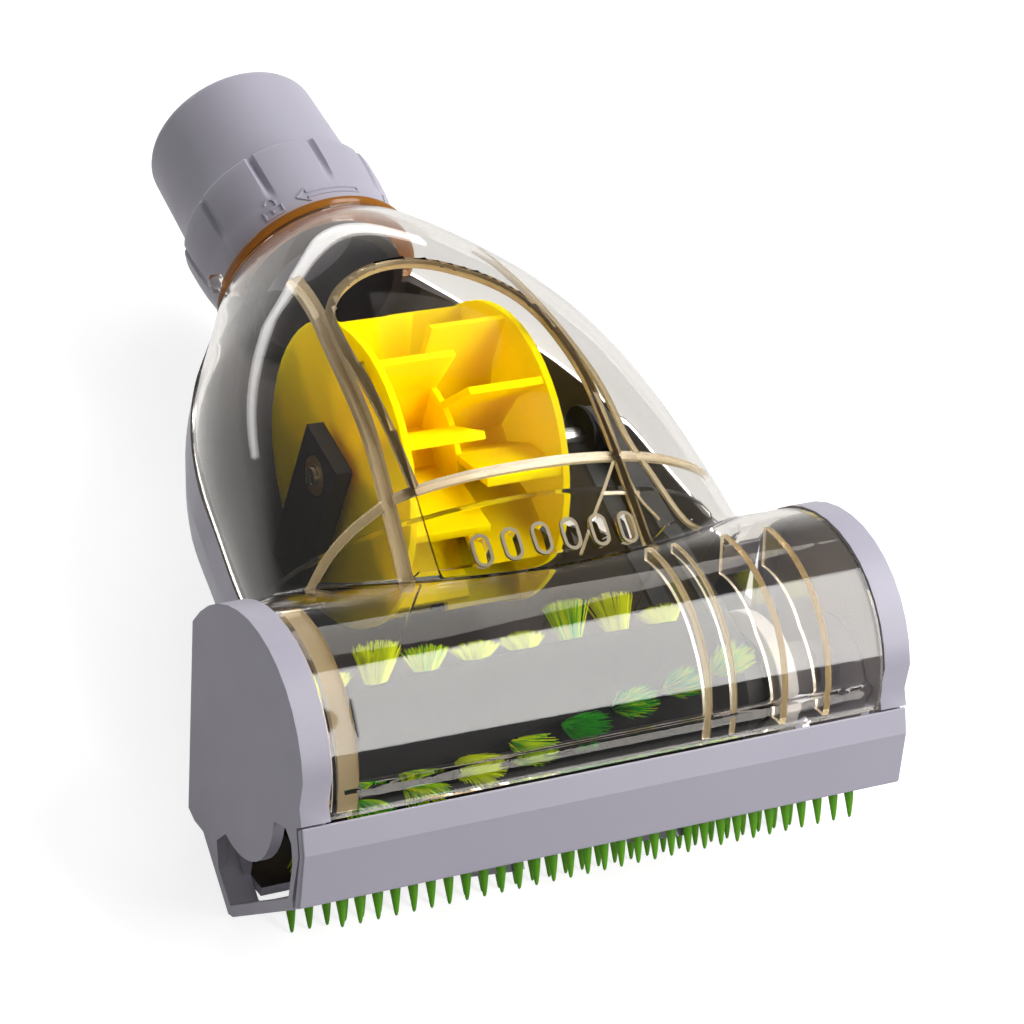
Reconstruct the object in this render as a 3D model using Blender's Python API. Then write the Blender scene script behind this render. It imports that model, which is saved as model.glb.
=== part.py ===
# Vacuum turbo brush: a clear-topped, air-driven brush head lying as it is put down.
# Body axes: +X across the head, +Y from the brush towards the hose end, +Z up.
# The neck lies along +Y. The head is moulded round its own sole, which leans SOLE_ANGLE from the neck.
import bpy
import bmesh
from math import sin, cos, pi, radians, sqrt, atan2, acos
from mathutils import Vector

MM = 0.001

# Overall sizes, in millimetres
WIDTH = 145.0
CAP_THICK = 6.5
SOLE_ANGLE = 52.5
CLEAR = 0.3
WALL = 2.0

# Head: its frame starts at the bottom front edge of the bumper, Y back and Z up from the sole
HEAD_Y = -160.9
HEAD_Z = -14.6
COVER_ARC_Y = 14.2
COVER_ARC_Z = 34.4
COVER_RADIUS = 28.7
CAP_RADIUS = COVER_RADIUS + 0.4
COVER_WALL = 1.5
ROLLER_Y = 17.8
ROLLER_Z = 27.2
LOBE_Y = 16.8
LOBE_Z = 25.2
LOBE_RADIUS = 14.6
BUMPER_TOP = 15.6
SOLE_DEPTH = 33.4
CAP_HEEL_Y = 35.5
CAP_HEEL_Z = 0.8
CAP_WEB_DEPTH = 5.8
CAP_WEB_LOW = -48.0
CAP_WEB_HIGH = 44.0
CAP_WEB_THICK = 1.6

# Roller
TUFT_GAP = 0.6
TUFT_LENGTH = 9.6
ROLLER_LEFT = 12.5 - WIDTH / 2
ROLLER_RIGHT = WIDTH / 2 - 32.0
STRIPS = 4
STRIP_START = 184.0
TUFT_TWIST = -0.5
TUFTS_PER_STRIP = 8
TUFT_MARGIN = 6.0
TUFT_ROOT = 1.4
TUFT_MIDDLE = 2.0
TUFT_TIP = 3.2
STRIP_WIDTH = 3.6
STRIP_DEPTH = 2.4
SHAFT_RADIUS = 2.0
BUSH_RADIUS = 4.5
BUSH_LENGTH = 3.6
CHAMBER_GAP = 0.8

# Sole
SOLE_THICK = 2.0
SLOT_FRONT = 5.6
SLOT_REAR = 26.4
SLOT_HALF = WIDTH / 2 - 12.5
BAR_X = SLOT_HALF / 3
BAR_WIDTH = 3.0
BAR_DROP = 1.8
COMB_FRONT_Y = 3.4
COMB_REAR_Y = 28.4
COMB_COUNT = 31
COMB_PITCH = (WIDTH - 22.0) / (COMB_COUNT - 1)
COMB_BASE = 1.6
PRONG_DROP = 5.6
PRONG_RAKE = 1.8
PRONG_RADIUS = 1.25

# Turbine
TURBINE_Y = -57.3
TURBINE_Z = -3.2
TURBINE_RADIUS = 33.2
TURBINE_HALF = 19.5
DISC_THICK = 1.6
HUB_RADIUS = 9.0
BLADES = 10
BLADE_THICK = 1.8
POST_THICK = 4.0
POST_HALF = 8.0
POST_GAP = 2.0

# Belt drive
BELT_X = WIDTH / 2 - 27.3
BELT_WIDTH = 4.6
BELT_THICK = 1.4
ROLLER_PULLEY = 9.0
TURBINE_PULLEY = 4.6
FLANGE_RISE = 2.2
FLANGE_THICK = 1.1

# Neck
NECK_BORE = 17.5
SPIGOT_RADIUS = NECK_BORE + 1.5
SPIGOT_BORE = SPIGOT_RADIUS - 2.4
SPIGOT_END = 14.2
COLLAR_RADIUS = SPIGOT_RADIUS + 4.2
COLLAR_END = 21.5
TUBE_RADIUS = COLLAR_RADIUS - 1.6
TUBE_TIP_RADIUS = TUBE_RADIUS - 0.75
TUBE_END = 49.4
RING_RADIUS = COLLAR_RADIUS + 0.8
GRIP_COUNT = 8
GRIP_DEPTH = 1.1

# Clear cover and lower housing, as (Y, half width, height or depth) stations along the neck axis
BACK_END = -1.8
WIDE = WIDTH / 145.0
COVER_STATIONS = [
    (BACK_END, RING_RADIUS, RING_RADIUS), (-8.0, 28.6 * WIDE, 27.5), (-16.0, 33.8 * WIDE, 31.0),
    (-26.0, 40.4 * WIDE, 34.3), (-36.0, 46.3 * WIDE, 36.6), (-48.0, 51.0 * WIDE, 38.4), (-60.0, 54.0 * WIDE, 39.0),
    (-74.0, 56.2 * WIDE, 37.3), (-88.0, 58.2 * WIDE, 32.5), (-102.0, 59.4 * WIDE, 26.5), (-118.0, 60.0 * WIDE, 19.0)]
HOUSING_STATIONS = [
    (BACK_END, RING_RADIUS - 0.2, RING_RADIUS - 0.2), (-16.0, 33.9 * WIDE, 27.0), (-28.0, 42.4 * WIDE, 33.5),
    (-42.0, 49.3 * WIDE, 39.6), (-58.0, 54.2 * WIDE, 41.0), (-74.0, 56.6 * WIDE, 40.6), (-88.0, 58.6 * WIDE, 38.4),
    (-100.0, 59.6 * WIDE, 35.6), (-112.0, 60.0 * WIDE, 32.6)]
SEAM_GAP = 0.3
HOUSING_FULLNESS = 2.6
COVER_FULLNESS = 2.06
RIB_THICK = 1.8
RIB_DEPTH = 4.5
ARCH_HALF = 24.0
ARCH_TOP = -30.0
CROSS_RIB_Y = -92.2
CROSS_RIB_HALF = 47.0
VENTS = 6
VENT_PITCH = 7.0
VENT_Y = -107.0
VENT_WIDTH = 4.0
VENT_LENGTH = 7.4
GUIDE_Y = -94.0
GUIDE_THICK = 1.6
GUIDE_HALF = 55.4 * WIDE
GUIDE_TOP = 22.0
GUIDE_LOW_HALF = 55.0 * WIDE
GUIDE_LOW = 34.2
HINGE_Y = -8.0
HINGE_Z = 16.6
PARTITION_THICK = 1.4
PARTITION_BORE = 18.0
PARTITION_REACH = 22.0
SKID_X = 15.0
SKID_WIDTH = 3.0
SKID_START = -90.0
SKID_END = -46.0

HALF = WIDTH / 2
INNER_HALF = HALF - CAP_THICK - CLEAR
COVER_LIP = BUMPER_TOP + 2 * CLEAR
LIP_Y = COVER_ARC_Y - sqrt((COVER_RADIUS - COVER_WALL) ** 2 - (COVER_ARC_Z - COVER_LIP) ** 2)
TUFT_RADIUS = sqrt((ROLLER_Y - LIP_Y) ** 2 + (ROLLER_Z - COVER_LIP) ** 2) - TUFT_GAP
CORE_RADIUS = TUFT_RADIUS - TUFT_LENGTH
REST_LEVEL = HEAD_Z - CAP_HEEL_Y * sin(radians(SOLE_ANGLE)) + CAP_HEEL_Z * cos(radians(SOLE_ANGLE))


def head_to_body(y, z):
    a = radians(SOLE_ANGLE)
    return HEAD_Y + y * cos(a) + z * sin(a), HEAD_Z - y * sin(a) + z * cos(a)


def body_to_head(y, z):
    a = radians(SOLE_ANGLE)
    y, z = y - HEAD_Y, z - HEAD_Z
    return y * cos(a) - z * sin(a), y * sin(a) + z * cos(a)


ROLLER_BODY = head_to_body(ROLLER_Y, ROLLER_Z)
ARC_BODY = head_to_body(COVER_ARC_Y, COVER_ARC_Z)
HINGE_BODY = head_to_body(HINGE_Y, HINGE_Z)


def clear_scene():
    for ob in list(bpy.data.objects):
        bpy.data.objects.remove(ob, do_unlink=True)


def make_material(name, rgb, roughness, metallic=0.0, alpha=1.0):
    mat = bpy.data.materials.new(name)
    mat.use_nodes = True
    shader = mat.node_tree.nodes["Principled BSDF"]
    shader.inputs["Base Color"].default_value = (*rgb, 1.0)
    shader.inputs["Roughness"].default_value = roughness
    shader.inputs["Metallic"].default_value = metallic
    shader.inputs["Alpha"].default_value = alpha
    mat.diffuse_color = (*rgb, alpha)
    return mat


def make_empty(name, location, tilt=0.0, parent=None):
    empty = bpy.data.objects.new(name, None)
    empty.location = Vector(location) * MM
    empty.rotation_euler = (tilt, 0.0, 0.0)
    empty.parent = parent
    bpy.context.scene.collection.objects.link(empty)
    return empty


def finish_mesh(name, bm, parent=None, material=None, smooth=None):
    bmesh.ops.remove_doubles(bm, verts=bm.verts, dist=0.001)
    bmesh.ops.recalc_face_normals(bm, faces=bm.faces)
    bmesh.ops.scale(bm, vec=(MM, MM, MM), verts=bm.verts)
    mesh = bpy.data.meshes.new(name)
    bm.to_mesh(mesh)
    bm.free()
    ob = bpy.data.objects.new(name, mesh)
    bpy.context.scene.collection.objects.link(ob)
    ob.parent = parent
    if material is not None:
        mesh.materials.append(material)
    if smooth is not None:
        mesh.shade_smooth()
        mesh.set_sharp_from_angle(angle=radians(smooth))
    return ob


def bridge_rings(bm, rings, closed=False):
    # Skin a list of equal rings; the ends are capped unless the loft closes on itself
    count = len(rings[0])
    for i in range(len(rings) if closed else len(rings) - 1):
        a, b = rings[i], rings[(i + 1) % len(rings)]
        for j in range(count):
            k = (j + 1) % count
            bm.faces.new((a[j], a[k], b[k], b[j]))
    if not closed:
        bm.faces.new(rings[0])
        bm.faces.new(list(reversed(rings[-1])))


def prism_x(points, x0, x1):
    # Extrude a (y, z) outline from x0 to x1
    bm = bmesh.new()
    rings = [[bm.verts.new((x, y, z)) for y, z in points] for x in (x0, x1)]
    bridge_rings(bm, rings)
    return bm


def prism_z(points, z0, z1):
    bm = bmesh.new()
    rings = [[bm.verts.new((x, y, z)) for x, y in points] for z in (z0, z1)]
    bridge_rings(bm, rings)
    return bm


def prism_y(points, y0, y1):
    bm = bmesh.new()
    rings = [[bm.verts.new((x, y, z)) for x, z in points] for y in (y0, y1)]
    bridge_rings(bm, rings)
    return bm


def box(x0, x1, y0, y1, z0, z1):
    return prism_x([(y0, z0), (y1, z0), (y1, z1), (y0, z1)], x0, x1)


def arc(cy, cz, radius, start, end, steps):
    # Points on a circle, angles in degrees from +Y towards +Z
    out = []
    for i in range(steps + 1):
        a = radians(start + (end - start) * i / steps)
        out.append((cy + radius * cos(a), cz + radius * sin(a)))
    return out


def turn(profile, axis="X", segments=32, closed=True, radius_at=None):
    # Revolve (radius, position) points; a closed profile makes a ring-shaped solid
    bm = bmesh.new()
    rings = []
    for k in range(segments):
        a = 2 * pi * k / segments
        ring = []
        for i, (r, p) in enumerate(profile):
            if radius_at is not None:
                r = radius_at(i, r, p, a)
            if axis == "X":
                ring.append(bm.verts.new((p, r * cos(a), r * sin(a))))
            else:
                ring.append(bm.verts.new((r * cos(a), p, r * sin(a))))
        rings.append(ring)
    count = len(profile)
    for k in range(segments):
        a, b = rings[k], rings[(k + 1) % segments]
        for j in range(count if closed else count - 1):
            m = (j + 1) % count
            bm.faces.new((a[j], a[m], b[m], b[j]))
    if not closed:
        bm.faces.new([ring[0] for ring in rings])
        bm.faces.new([ring[-1] for ring in rings])
    return bm


def cylinder(radius, x0, x1, segments=32, cy=0.0, cz=0.0):
    return prism_x(arc(cy, cz, radius, 0, 360 - 360 / segments, segments - 1), x0, x1)


def tube(outer, inner, x0, x1, segments=32):
    return turn([(outer, x0), (outer, x1), (inner, x1), (inner, x0)], "X", segments)


def combine(target, other, operation="UNION"):
    # Apply one exact Boolean and drop the second object
    mod = target.modifiers.new("boolean", "BOOLEAN")
    mod.operation = operation
    mod.solver = "EXACT"
    mod.object = other
    bpy.context.view_layer.update()
    graph = bpy.context.evaluated_depsgraph_get()
    mesh = bpy.data.meshes.new_from_object(target.evaluated_get(graph))
    target.modifiers.remove(mod)
    old = target.data
    target.data = mesh
    mesh.name = target.name
    bpy.data.meshes.remove(old)
    bpy.data.objects.remove(other, do_unlink=True)
    return target


def helper(bm, parent=None):
    ob = finish_mesh("cutter", bm, parent)
    ob.hide_render = True
    ob.display_type = "WIRE"
    return ob


def cut(target, bm, parent=None):
    return combine(target, helper(bm, parent), "DIFFERENCE")


def add(target, bm, parent=None):
    return combine(target, helper(bm, parent), "UNION")


def tidy(ob, smooth=None):
    # Weld slivers left by the cuts and set the shading
    bm = bmesh.new()
    bm.from_mesh(ob.data)
    bmesh.ops.dissolve_degenerate(bm, edges=bm.edges, dist=0.000001)
    bmesh.ops.triangulate(bm, faces=bm.faces)
    bm.to_mesh(ob.data)
    bm.free()
    if smooth is not None:
        ob.data.shade_smooth()
        ob.data.set_sharp_from_angle(angle=radians(smooth))
    return ob


def section(half, tall, fullness, steps, skirt, sign=1):
    # Half of a superellipse, closed by a short skirt past the seam
    points = []
    for i in range(steps + 1):
        a = pi * i / steps
        c, s = cos(a), sin(a)
        r = (abs(c) ** fullness + abs(s) ** fullness) ** (-1 / fullness)
        points.append((half * c * r, sign * tall * s * r))
    points.append((-half, -sign * skirt))
    points.append((half, -sign * skirt))
    return points


def shell_loft(stations, inset, fullness, skirt, sign=1, steps=16, first=0.0, last=0.0):
    # Loft the dome or the bowl through its stations, drawn in by inset
    bm = bmesh.new()
    rings = []
    for i, (y, half, tall) in enumerate(stations):
        if i == 0:
            y -= first
        if i == len(stations) - 1:
            y += last
        blend = min(1.0, i / 4)
        power = 2.0 + (fullness - 2.0) * blend
        points = section(half - inset, tall - inset, power, steps, skirt, sign)
        rings.append([bm.verts.new((x, y, z)) for x, z in points])
    bridge_rings(bm, rings)
    return bm


def offset_line(p, q, d):
    # Move a segment sideways by d, to the right of its direction
    length = sqrt((q[0] - p[0]) ** 2 + (q[1] - p[1]) ** 2)
    nx, ny = (q[1] - p[1]) / length, -(q[0] - p[0]) / length
    return (p[0] + nx * d, p[1] + ny * d), (q[0] + nx * d, q[1] + ny * d)


def meet(l1, l2):
    # Where two lines cross
    (x1, y1), (x2, y2) = l1
    (x3, y3), (x4, y4) = l2
    den = (x1 - x2) * (y3 - y4) - (y1 - y2) * (x3 - x4)
    a, b = x1 * y2 - y1 * x2, x3 * y4 - y3 * x4
    return (a * (x3 - x4) - (x1 - x2) * b) / den, (a * (y3 - y4) - (y1 - y2) * b) / den


def inset_outline(points, d):
    # Draw a convex-ish outline in by d; points run anticlockwise
    lines = [offset_line(points[i], points[(i + 1) % len(points)], -d) for i in range(len(points))]
    return [meet(lines[i - 1], lines[i]) for i in range(len(points))]


clear_scene()

GREY = make_material("grey_plastic", (0.50, 0.48, 0.56), 0.42)
CLEAR_MAT = make_material("clear_plastic", (0.93, 0.92, 0.88), 0.06, alpha=0.3)
AMBER = make_material("amber_seal", (0.62, 0.30, 0.06), 0.2)
YELLOW = make_material("yellow_plastic", (0.98, 0.66, 0.02), 0.35)
GREEN = make_material("comb_rubber", (0.24, 0.52, 0.06), 0.5)
LIME = make_material("lime_bristle", (0.70, 0.86, 0.05), 0.6)
DEEP_GREEN = make_material("green_bristle", (0.10, 0.55, 0.08), 0.6)
CORE = make_material("roller_core", (0.10, 0.10, 0.11), 0.4)
BLACK = make_material("belt_rubber", (0.03, 0.03, 0.03), 0.8)
STEEL = make_material("steel", (0.62, 0.62, 0.63), 0.25, 1.0)
BRASS = make_material("brass", (0.80, 0.60, 0.28), 0.3, 1.0)

body = make_empty("body_frame", (0, 0, 0))
head = make_empty("head_frame", (0, HEAD_Y, HEAD_Z), -radians(SOLE_ANGLE), body)
roller = make_empty("roller_axis", (0, ROLLER_Y, ROLLER_Z), 0.0, head)
turbine = make_empty("turbine_axis", (0, TURBINE_Y, TURBINE_Z), 0.0, body)
neck = make_empty("neck_axis", (0, 0, 0), 0.0, body)
hinge = make_empty("cover_hinge", (0, HINGE_BODY[0], HINGE_BODY[1]), 0.0, body)
bpy.context.view_layer.update()


# End caps: one outline for both, with a window in the foot and a round bearing lobe hanging into it
def cap_outline():
    front = (-8.3 + WALL + CLEAR, BUMPER_TOP + CLEAR)
    rear_top = (25.4, 61.6)
    rear_low = (45.7, 23.9)
    a1 = atan2(rear_top[1] - COVER_ARC_Z, rear_top[0] - COVER_ARC_Y) * 180 / pi
    top = arc(COVER_ARC_Y, COVER_ARC_Z, CAP_RADIUS, a1, 200.0, 14)
    lip = [(-9.2, BUMPER_TOP + 4.0), (-8.5, BUMPER_TOP + CLEAR), front]
    foot = [(-6.7 + WALL + CLEAR, 10.2), (WALL + CLEAR, 2.2), (WALL + 1.0, 0.0), (SOLE_DEPTH, 0.0)]
    heel = [(CAP_HEEL_Y, CAP_HEEL_Z), (40.4, 18.4), (43.9, 21.0), rear_low]
    return top + lip + foot + heel


def window_outline():
    return [(34.2, 16.2), (12.0, 20.5), (-1.0, 16.3), (-2.2, 13.0), (-0.9, 9.0), (4.2, 2.4), (33.6, 2.4), (36.0, 10.5)]


def build_cap(name, side):
    outer, inner = side * HALF, side * (HALF - CAP_THICK)
    ob = finish_mesh(name, prism_x(cap_outline(), min(outer, inner), max(outer, inner)), head, GREY)
    face = side * (HALF - WALL)
    pocket = inset_outline(cap_outline(), 2.2)
    cut(ob, prism_x(pocket, min(face, inner - side), max(face, inner - side)), head)
    cut(ob, prism_x(window_outline(), min(outer + side, inner - side), max(outer + side, inner - side)), head)
    lobe = cylinder(LOBE_RADIUS, min(outer, face - side * 0.6), max(outer, face - side * 0.6), 32, LOBE_Y, LOBE_Z)
    add(ob, lobe, head)
    boss = cylinder(BUSH_RADIUS + WALL, min(face, inner), max(face, inner), 24, ROLLER_Y, ROLLER_Z)
    add(ob, boss, head)
    web_radius = TUFT_RADIUS + CHAMBER_GAP + WALL
    rim = arc(ROLLER_Y, ROLLER_Z, web_radius, CAP_WEB_LOW, CAP_WEB_HIGH, 12)
    rim += arc(ROLLER_Y, ROLLER_Z, web_radius - CAP_WEB_DEPTH, CAP_WEB_HIGH, CAP_WEB_LOW, 10)
    web = side * (HALF - CAP_THICK + CAP_WEB_THICK)
    add(ob, prism_x(rim, min(web, inner), max(web, inner)), head)
    bush_end = side * (HALF - CAP_THICK + BUSH_LENGTH + CLEAR)
    seat = cylinder(BUSH_RADIUS + CLEAR, min(bush_end, inner - side), max(bush_end, inner - side), 24, ROLLER_Y, ROLLER_Z)
    cut(ob, seat, head)
    return tidy(ob, 30)


build_cap("left_end_cap", -1)
build_cap("right_end_cap", 1)


# Front bumper: a folded strip across the whole width, in front of both caps
def bumper_outline():
    outer = [(0.0, 0.0), (-6.7, 10.0), (-8.3, BUMPER_TOP)]
    inner = [(-8.3 + WALL, BUMPER_TOP), (-6.7 + WALL, 10.2), (WALL, 0.9), (WALL, 0.0)]
    return outer + inner


bumper = finish_mesh("front_bumper", prism_x(bumper_outline(), -HALF, HALF), head, GREY)
tidy(bumper, 30)


# Sole plate: the floor of the roller chamber, with the suction slot, two cross bars and the comb grooves
SOLE_FRONT = WALL + CLEAR
sole = finish_mesh("sole_plate", box(-INNER_HALF, INNER_HALF, SOLE_FRONT, SOLE_DEPTH - 1.4, 0.0, SOLE_THICK), head, GREY)
cut(sole, box(-SLOT_HALF, SLOT_HALF, SLOT_FRONT, SLOT_REAR, -1.0, SOLE_THICK + 1.0), head)
for x in (-BAR_X, BAR_X):
    bar = box(x - BAR_WIDTH / 2, x + BAR_WIDTH / 2, SLOT_FRONT - 0.6, SLOT_REAR + 0.6, -BAR_DROP, 0.1)
    add(sole, bar, head)
COMB_HALF = COMB_PITCH * (COMB_COUNT - 1) / 2 + 1.6
for y in (COMB_FRONT_Y, COMB_REAR_Y):
    if y < SLOT_FRONT:
        cut(sole, box(-COMB_HALF - CLEAR, COMB_HALF + CLEAR, 0.0, y + COMB_BASE / 2 + CLEAR, -1.0, 1.2), head)
    else:
        groove = box(-COMB_HALF - CLEAR, COMB_HALF + CLEAR, y - COMB_BASE / 2 - CLEAR, y + COMB_BASE / 2 + CLEAR, -1.0, 1.2)
        cut(sole, groove, head)
tidy(sole)


# Rubber combs: a strip with a row of raked prongs
def build_comb(name, y, front):
    y0 = SOLE_FRONT + CLEAR if front else y - COMB_BASE / 2
    bar = finish_mesh(name, box(-COMB_HALF, COMB_HALF, y0, y + COMB_BASE / 2, 0.0, 1.2 - CLEAR), head, GREEN)
    centre = (y0 + y + COMB_BASE / 2) / 2
    bm = bmesh.new()
    for i in range(COMB_COUNT):
        x = (i - (COMB_COUNT - 1) / 2) * COMB_PITCH
        rings = []
        for z, dy, r in ((0.5, 0.0, PRONG_RADIUS), (-PRONG_DROP * 0.55, PRONG_RAKE * 0.45, PRONG_RADIUS * 0.85),
                         (-PRONG_DROP, PRONG_RAKE, 0.3)):
            ring = []
            for k in range(5):
                a = 2 * pi * (k + 0.25) / 5
                ring.append(bm.verts.new((x + r * cos(a), centre + dy + 0.55 * r * sin(a), z)))
            rings.append(ring)
        bridge_rings(bm, rings)
    add(bar, bm, head)
    return tidy(bar, 50)


build_comb("front_comb", COMB_FRONT_Y, True)
build_comb("rear_comb", COMB_REAR_Y, False)


# Roller: a fluted core, helical tuft strips, shaft and bushes
def strip_angle(index, x):
    return radians(STRIP_START + 360.0 / STRIPS * index + TUFT_TWIST * x)


CORE_ARC_STEPS = 7


def core_ring(bm, x):
    ring = []
    notch = STRIP_WIDTH / 2 + CLEAR
    pitch = 2 * pi / STRIPS
    for index in range(STRIPS):
        a = strip_angle(index, x)
        for i in range(1, CORE_ARC_STEPS):
            b = a - pitch + pitch * i / CORE_ARC_STEPS
            ring.append((CORE_RADIUS * cos(b), CORE_RADIUS * sin(b)))
        floor = CORE_RADIUS - STRIP_DEPTH - CLEAR
        rim = sqrt(CORE_RADIUS ** 2 - notch ** 2)
        for r, t in ((rim, -notch), (floor, -notch), (floor, notch), (rim, notch)):
            ring.append((r * cos(a) - t * sin(a), r * sin(a) + t * cos(a)))
    return [bm.verts.new((x, y, z)) for y, z in ring]


CORE_STEPS = 12
core_bm = bmesh.new()
core_rings = [core_ring(core_bm, ROLLER_LEFT + (ROLLER_RIGHT - ROLLER_LEFT) * i / CORE_STEPS)
              for i in range(CORE_STEPS + 1)]
bridge_rings(core_bm, core_rings)
core = finish_mesh("roller_core", core_bm, roller, CORE)
cut(core, cylinder(SHAFT_RADIUS + CLEAR, ROLLER_LEFT - 1, ROLLER_RIGHT + 1, 16), roller)
tidy(core, 35)


def build_strip(name, index, material):
    bm = bmesh.new()
    rings = []
    w = STRIP_WIDTH / 2
    for i in range(CORE_STEPS + 1):
        x = ROLLER_LEFT + (ROLLER_RIGHT - ROLLER_LEFT) * i / CORE_STEPS
        a = strip_angle(index, x)
        ring = []
        for r, t in ((CORE_RADIUS - STRIP_DEPTH, -w), (CORE_RADIUS + 0.2, -w), (CORE_RADIUS + 0.2, w), (CORE_RADIUS - STRIP_DEPTH, w)):
            ring.append(bm.verts.new((x, r * cos(a) - t * sin(a), r * sin(a) + t * cos(a))))
        rings.append(ring)
    bridge_rings(bm, rings)
    ob = finish_mesh(name, bm, roller, material)
    tufts = bmesh.new()
    span = ROLLER_RIGHT - ROLLER_LEFT - 2 * TUFT_MARGIN
    for k in range(TUFTS_PER_STRIP):
        x = ROLLER_LEFT + TUFT_MARGIN + span * k / (TUFTS_PER_STRIP - 1)
        a = strip_angle(index, x)
        rings = []
        for r, size in ((CORE_RADIUS - 1.0, TUFT_ROOT), (CORE_RADIUS + 4.0, TUFT_MIDDLE), (TUFT_RADIUS - 0.4, TUFT_TIP)):
            ring = []
            for j in range(6):
                b = 2 * pi * j / 6
                t, dx = 0.6 * size * sin(b), size * cos(b)
                ring.append(tufts.verts.new((x + dx, r * cos(a) - t * sin(a), r * sin(a) + t * cos(a))))
            rings.append(ring)
        bridge_rings(tufts, rings)
    add(ob, tufts, roller)
    return tidy(ob, 40)


build_strip("green_tuft_strip", 0, DEEP_GREEN)
build_strip("lime_tuft_strip_back", 1, LIME)
build_strip("green_tuft_strip_back", 2, DEEP_GREEN)
build_strip("lime_tuft_strip_front", 3, LIME)

SHAFT_END = HALF - CAP_THICK + BUSH_LENGTH - 0.4
finish_mesh("roller_shaft", cylinder(SHAFT_RADIUS, -SHAFT_END, SHAFT_END, 20), roller, STEEL, 40)
for name, side in (("left_roller_bush", -1), ("right_roller_bush", 1)):
    x0, x1 = side * (HALF - CAP_THICK), side * (HALF - CAP_THICK + BUSH_LENGTH)
    bush = tube(BUSH_RADIUS, SHAFT_RADIUS + CLEAR, min(x0, x1), max(x0, x1), 24)
    finish_mesh(name, bush, roller, BRASS, 40)


# Pulleys with flanges, and the flat belt between them
def pulley(name, radius, parent, material):
    w = BELT_WIDTH / 2 + CLEAR
    e = w + FLANGE_THICK
    rim = radius + FLANGE_RISE
    bore = SHAFT_RADIUS + CLEAR
    profile = [(bore, -e), (rim, -e), (rim, -w), (radius, -w), (radius, w), (rim, w), (rim, e), (bore, e)]
    points = [(r, BELT_X + p) for r, p in profile]
    return finish_mesh(name, turn(points, "X", 32), parent, material, 40)


pulley("roller_pulley", ROLLER_PULLEY, roller, CORE)
pulley("turbine_pulley", TURBINE_PULLEY, turbine, CORE)

END_COLLAR = BELT_X + BELT_WIDTH / 2 + CLEAR + FLANGE_THICK + CLEAR
finish_mesh("roller_end_collar", turn([(SHAFT_RADIUS + CLEAR, END_COLLAR), (CORE_RADIUS, END_COLLAR),
                                       (CORE_RADIUS, END_COLLAR + 4.0), (7.0, END_COLLAR + 5.0),
                                       (7.0, INNER_HALF - 1.2), (SHAFT_RADIUS + CLEAR, INNER_HALF - 1.2)], "X", 32),
            roller, GREY, 40)


def belt_outline(growth):
    # The two pulley arcs and the straight runs tangent to both
    (y1, z1), (y2, z2) = ROLLER_BODY, (TURBINE_Y, TURBINE_Z)
    r1, r2 = ROLLER_PULLEY + CLEAR + growth, TURBINE_PULLEY + CLEAR + growth
    dist = sqrt((y2 - y1) ** 2 + (z2 - z1) ** 2)
    heading = atan2(z2 - z1, y2 - y1) * 180 / pi
    lean = 90.0 - atan2(r1 - r2, sqrt(dist ** 2 - (r1 - r2) ** 2)) * 180 / pi
    big = arc(y1, z1, r1, heading + lean, heading + 360.0 - lean, 18)
    small = arc(y2, z2, r2, heading - lean, heading + lean, 12)
    return big + small


belt_bm = bmesh.new()
outer_loop, inner_loop = belt_outline(BELT_THICK), belt_outline(0.0)
belt_rings = []
for (yo, zo), (yi, zi) in zip(outer_loop, inner_loop):
    x0, x1 = BELT_X - BELT_WIDTH / 2, BELT_X + BELT_WIDTH / 2
    belt_rings.append([belt_bm.verts.new(v) for v in ((x0, yo, zo), (x1, yo, zo), (x1, yi, zi), (x0, yi, zi))])
bridge_rings(belt_bm, belt_rings, closed=True)
finish_mesh("drive_belt", belt_bm, body, BLACK, 40)


# Turbine wheel: two rims, a hub and two staggered rows of curved blades
def blade_outline(phase):
    points = []
    tip = TURBINE_RADIUS - 0.6
    for k in range(BLADES):
        a = 2 * pi * k / BLADES + phase
        half = BLADE_THICK / 2
        for r, lean, side in ((HUB_RADIUS, 0.0, -half), (20.0, 0.07, -half), (tip, 0.24, -half),
                              (tip, 0.24, half), (20.0, 0.07, half), (HUB_RADIUS, 0.0, half)):
            b = a + lean
            points.append((r * cos(b) - side * sin(b), r * sin(b) + side * cos(b)))
    return points


wheel = finish_mesh("turbine_wheel", cylinder(HUB_RADIUS + 0.4, -TURBINE_HALF, TURBINE_HALF, 30), turbine, YELLOW)
add(wheel, prism_x(blade_outline(0.0), -TURBINE_HALF + 0.5, 0.4), turbine)
add(wheel, prism_x(blade_outline(pi / BLADES), -0.4, TURBINE_HALF - 0.5), turbine)
for x0, x1 in ((-TURBINE_HALF, -TURBINE_HALF + DISC_THICK), (-0.7, 0.7), (TURBINE_HALF - DISC_THICK, TURBINE_HALF)):
    rim = TURBINE_RADIUS if abs(x0) > 1 else 20.0
    add(wheel, cylinder(rim, x0, x1, 48), turbine)
cut(wheel, cylinder(SHAFT_RADIUS + CLEAR, -TURBINE_HALF - 1, TURBINE_HALF + 1, 16), turbine)
tidy(wheel, 30)

POST_IN = TURBINE_HALF + POST_GAP
POST_OUT = POST_IN + POST_THICK
SHAFT_TIP = BELT_X + BELT_WIDTH / 2 + CLEAR + FLANGE_THICK + 0.4
finish_mesh("turbine_shaft", cylinder(SHAFT_RADIUS, -POST_OUT - 1.0, SHAFT_TIP, 20), turbine, STEEL, 40)
for name, side in (("left_turbine_bush", -1), ("right_turbine_bush", 1)):
    x0, x1 = side * POST_IN, side * POST_OUT
    finish_mesh(name, tube(BUSH_RADIUS, SHAFT_RADIUS + CLEAR, min(x0, x1), max(x0, x1), 24), turbine, BRASS, 40)


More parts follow.
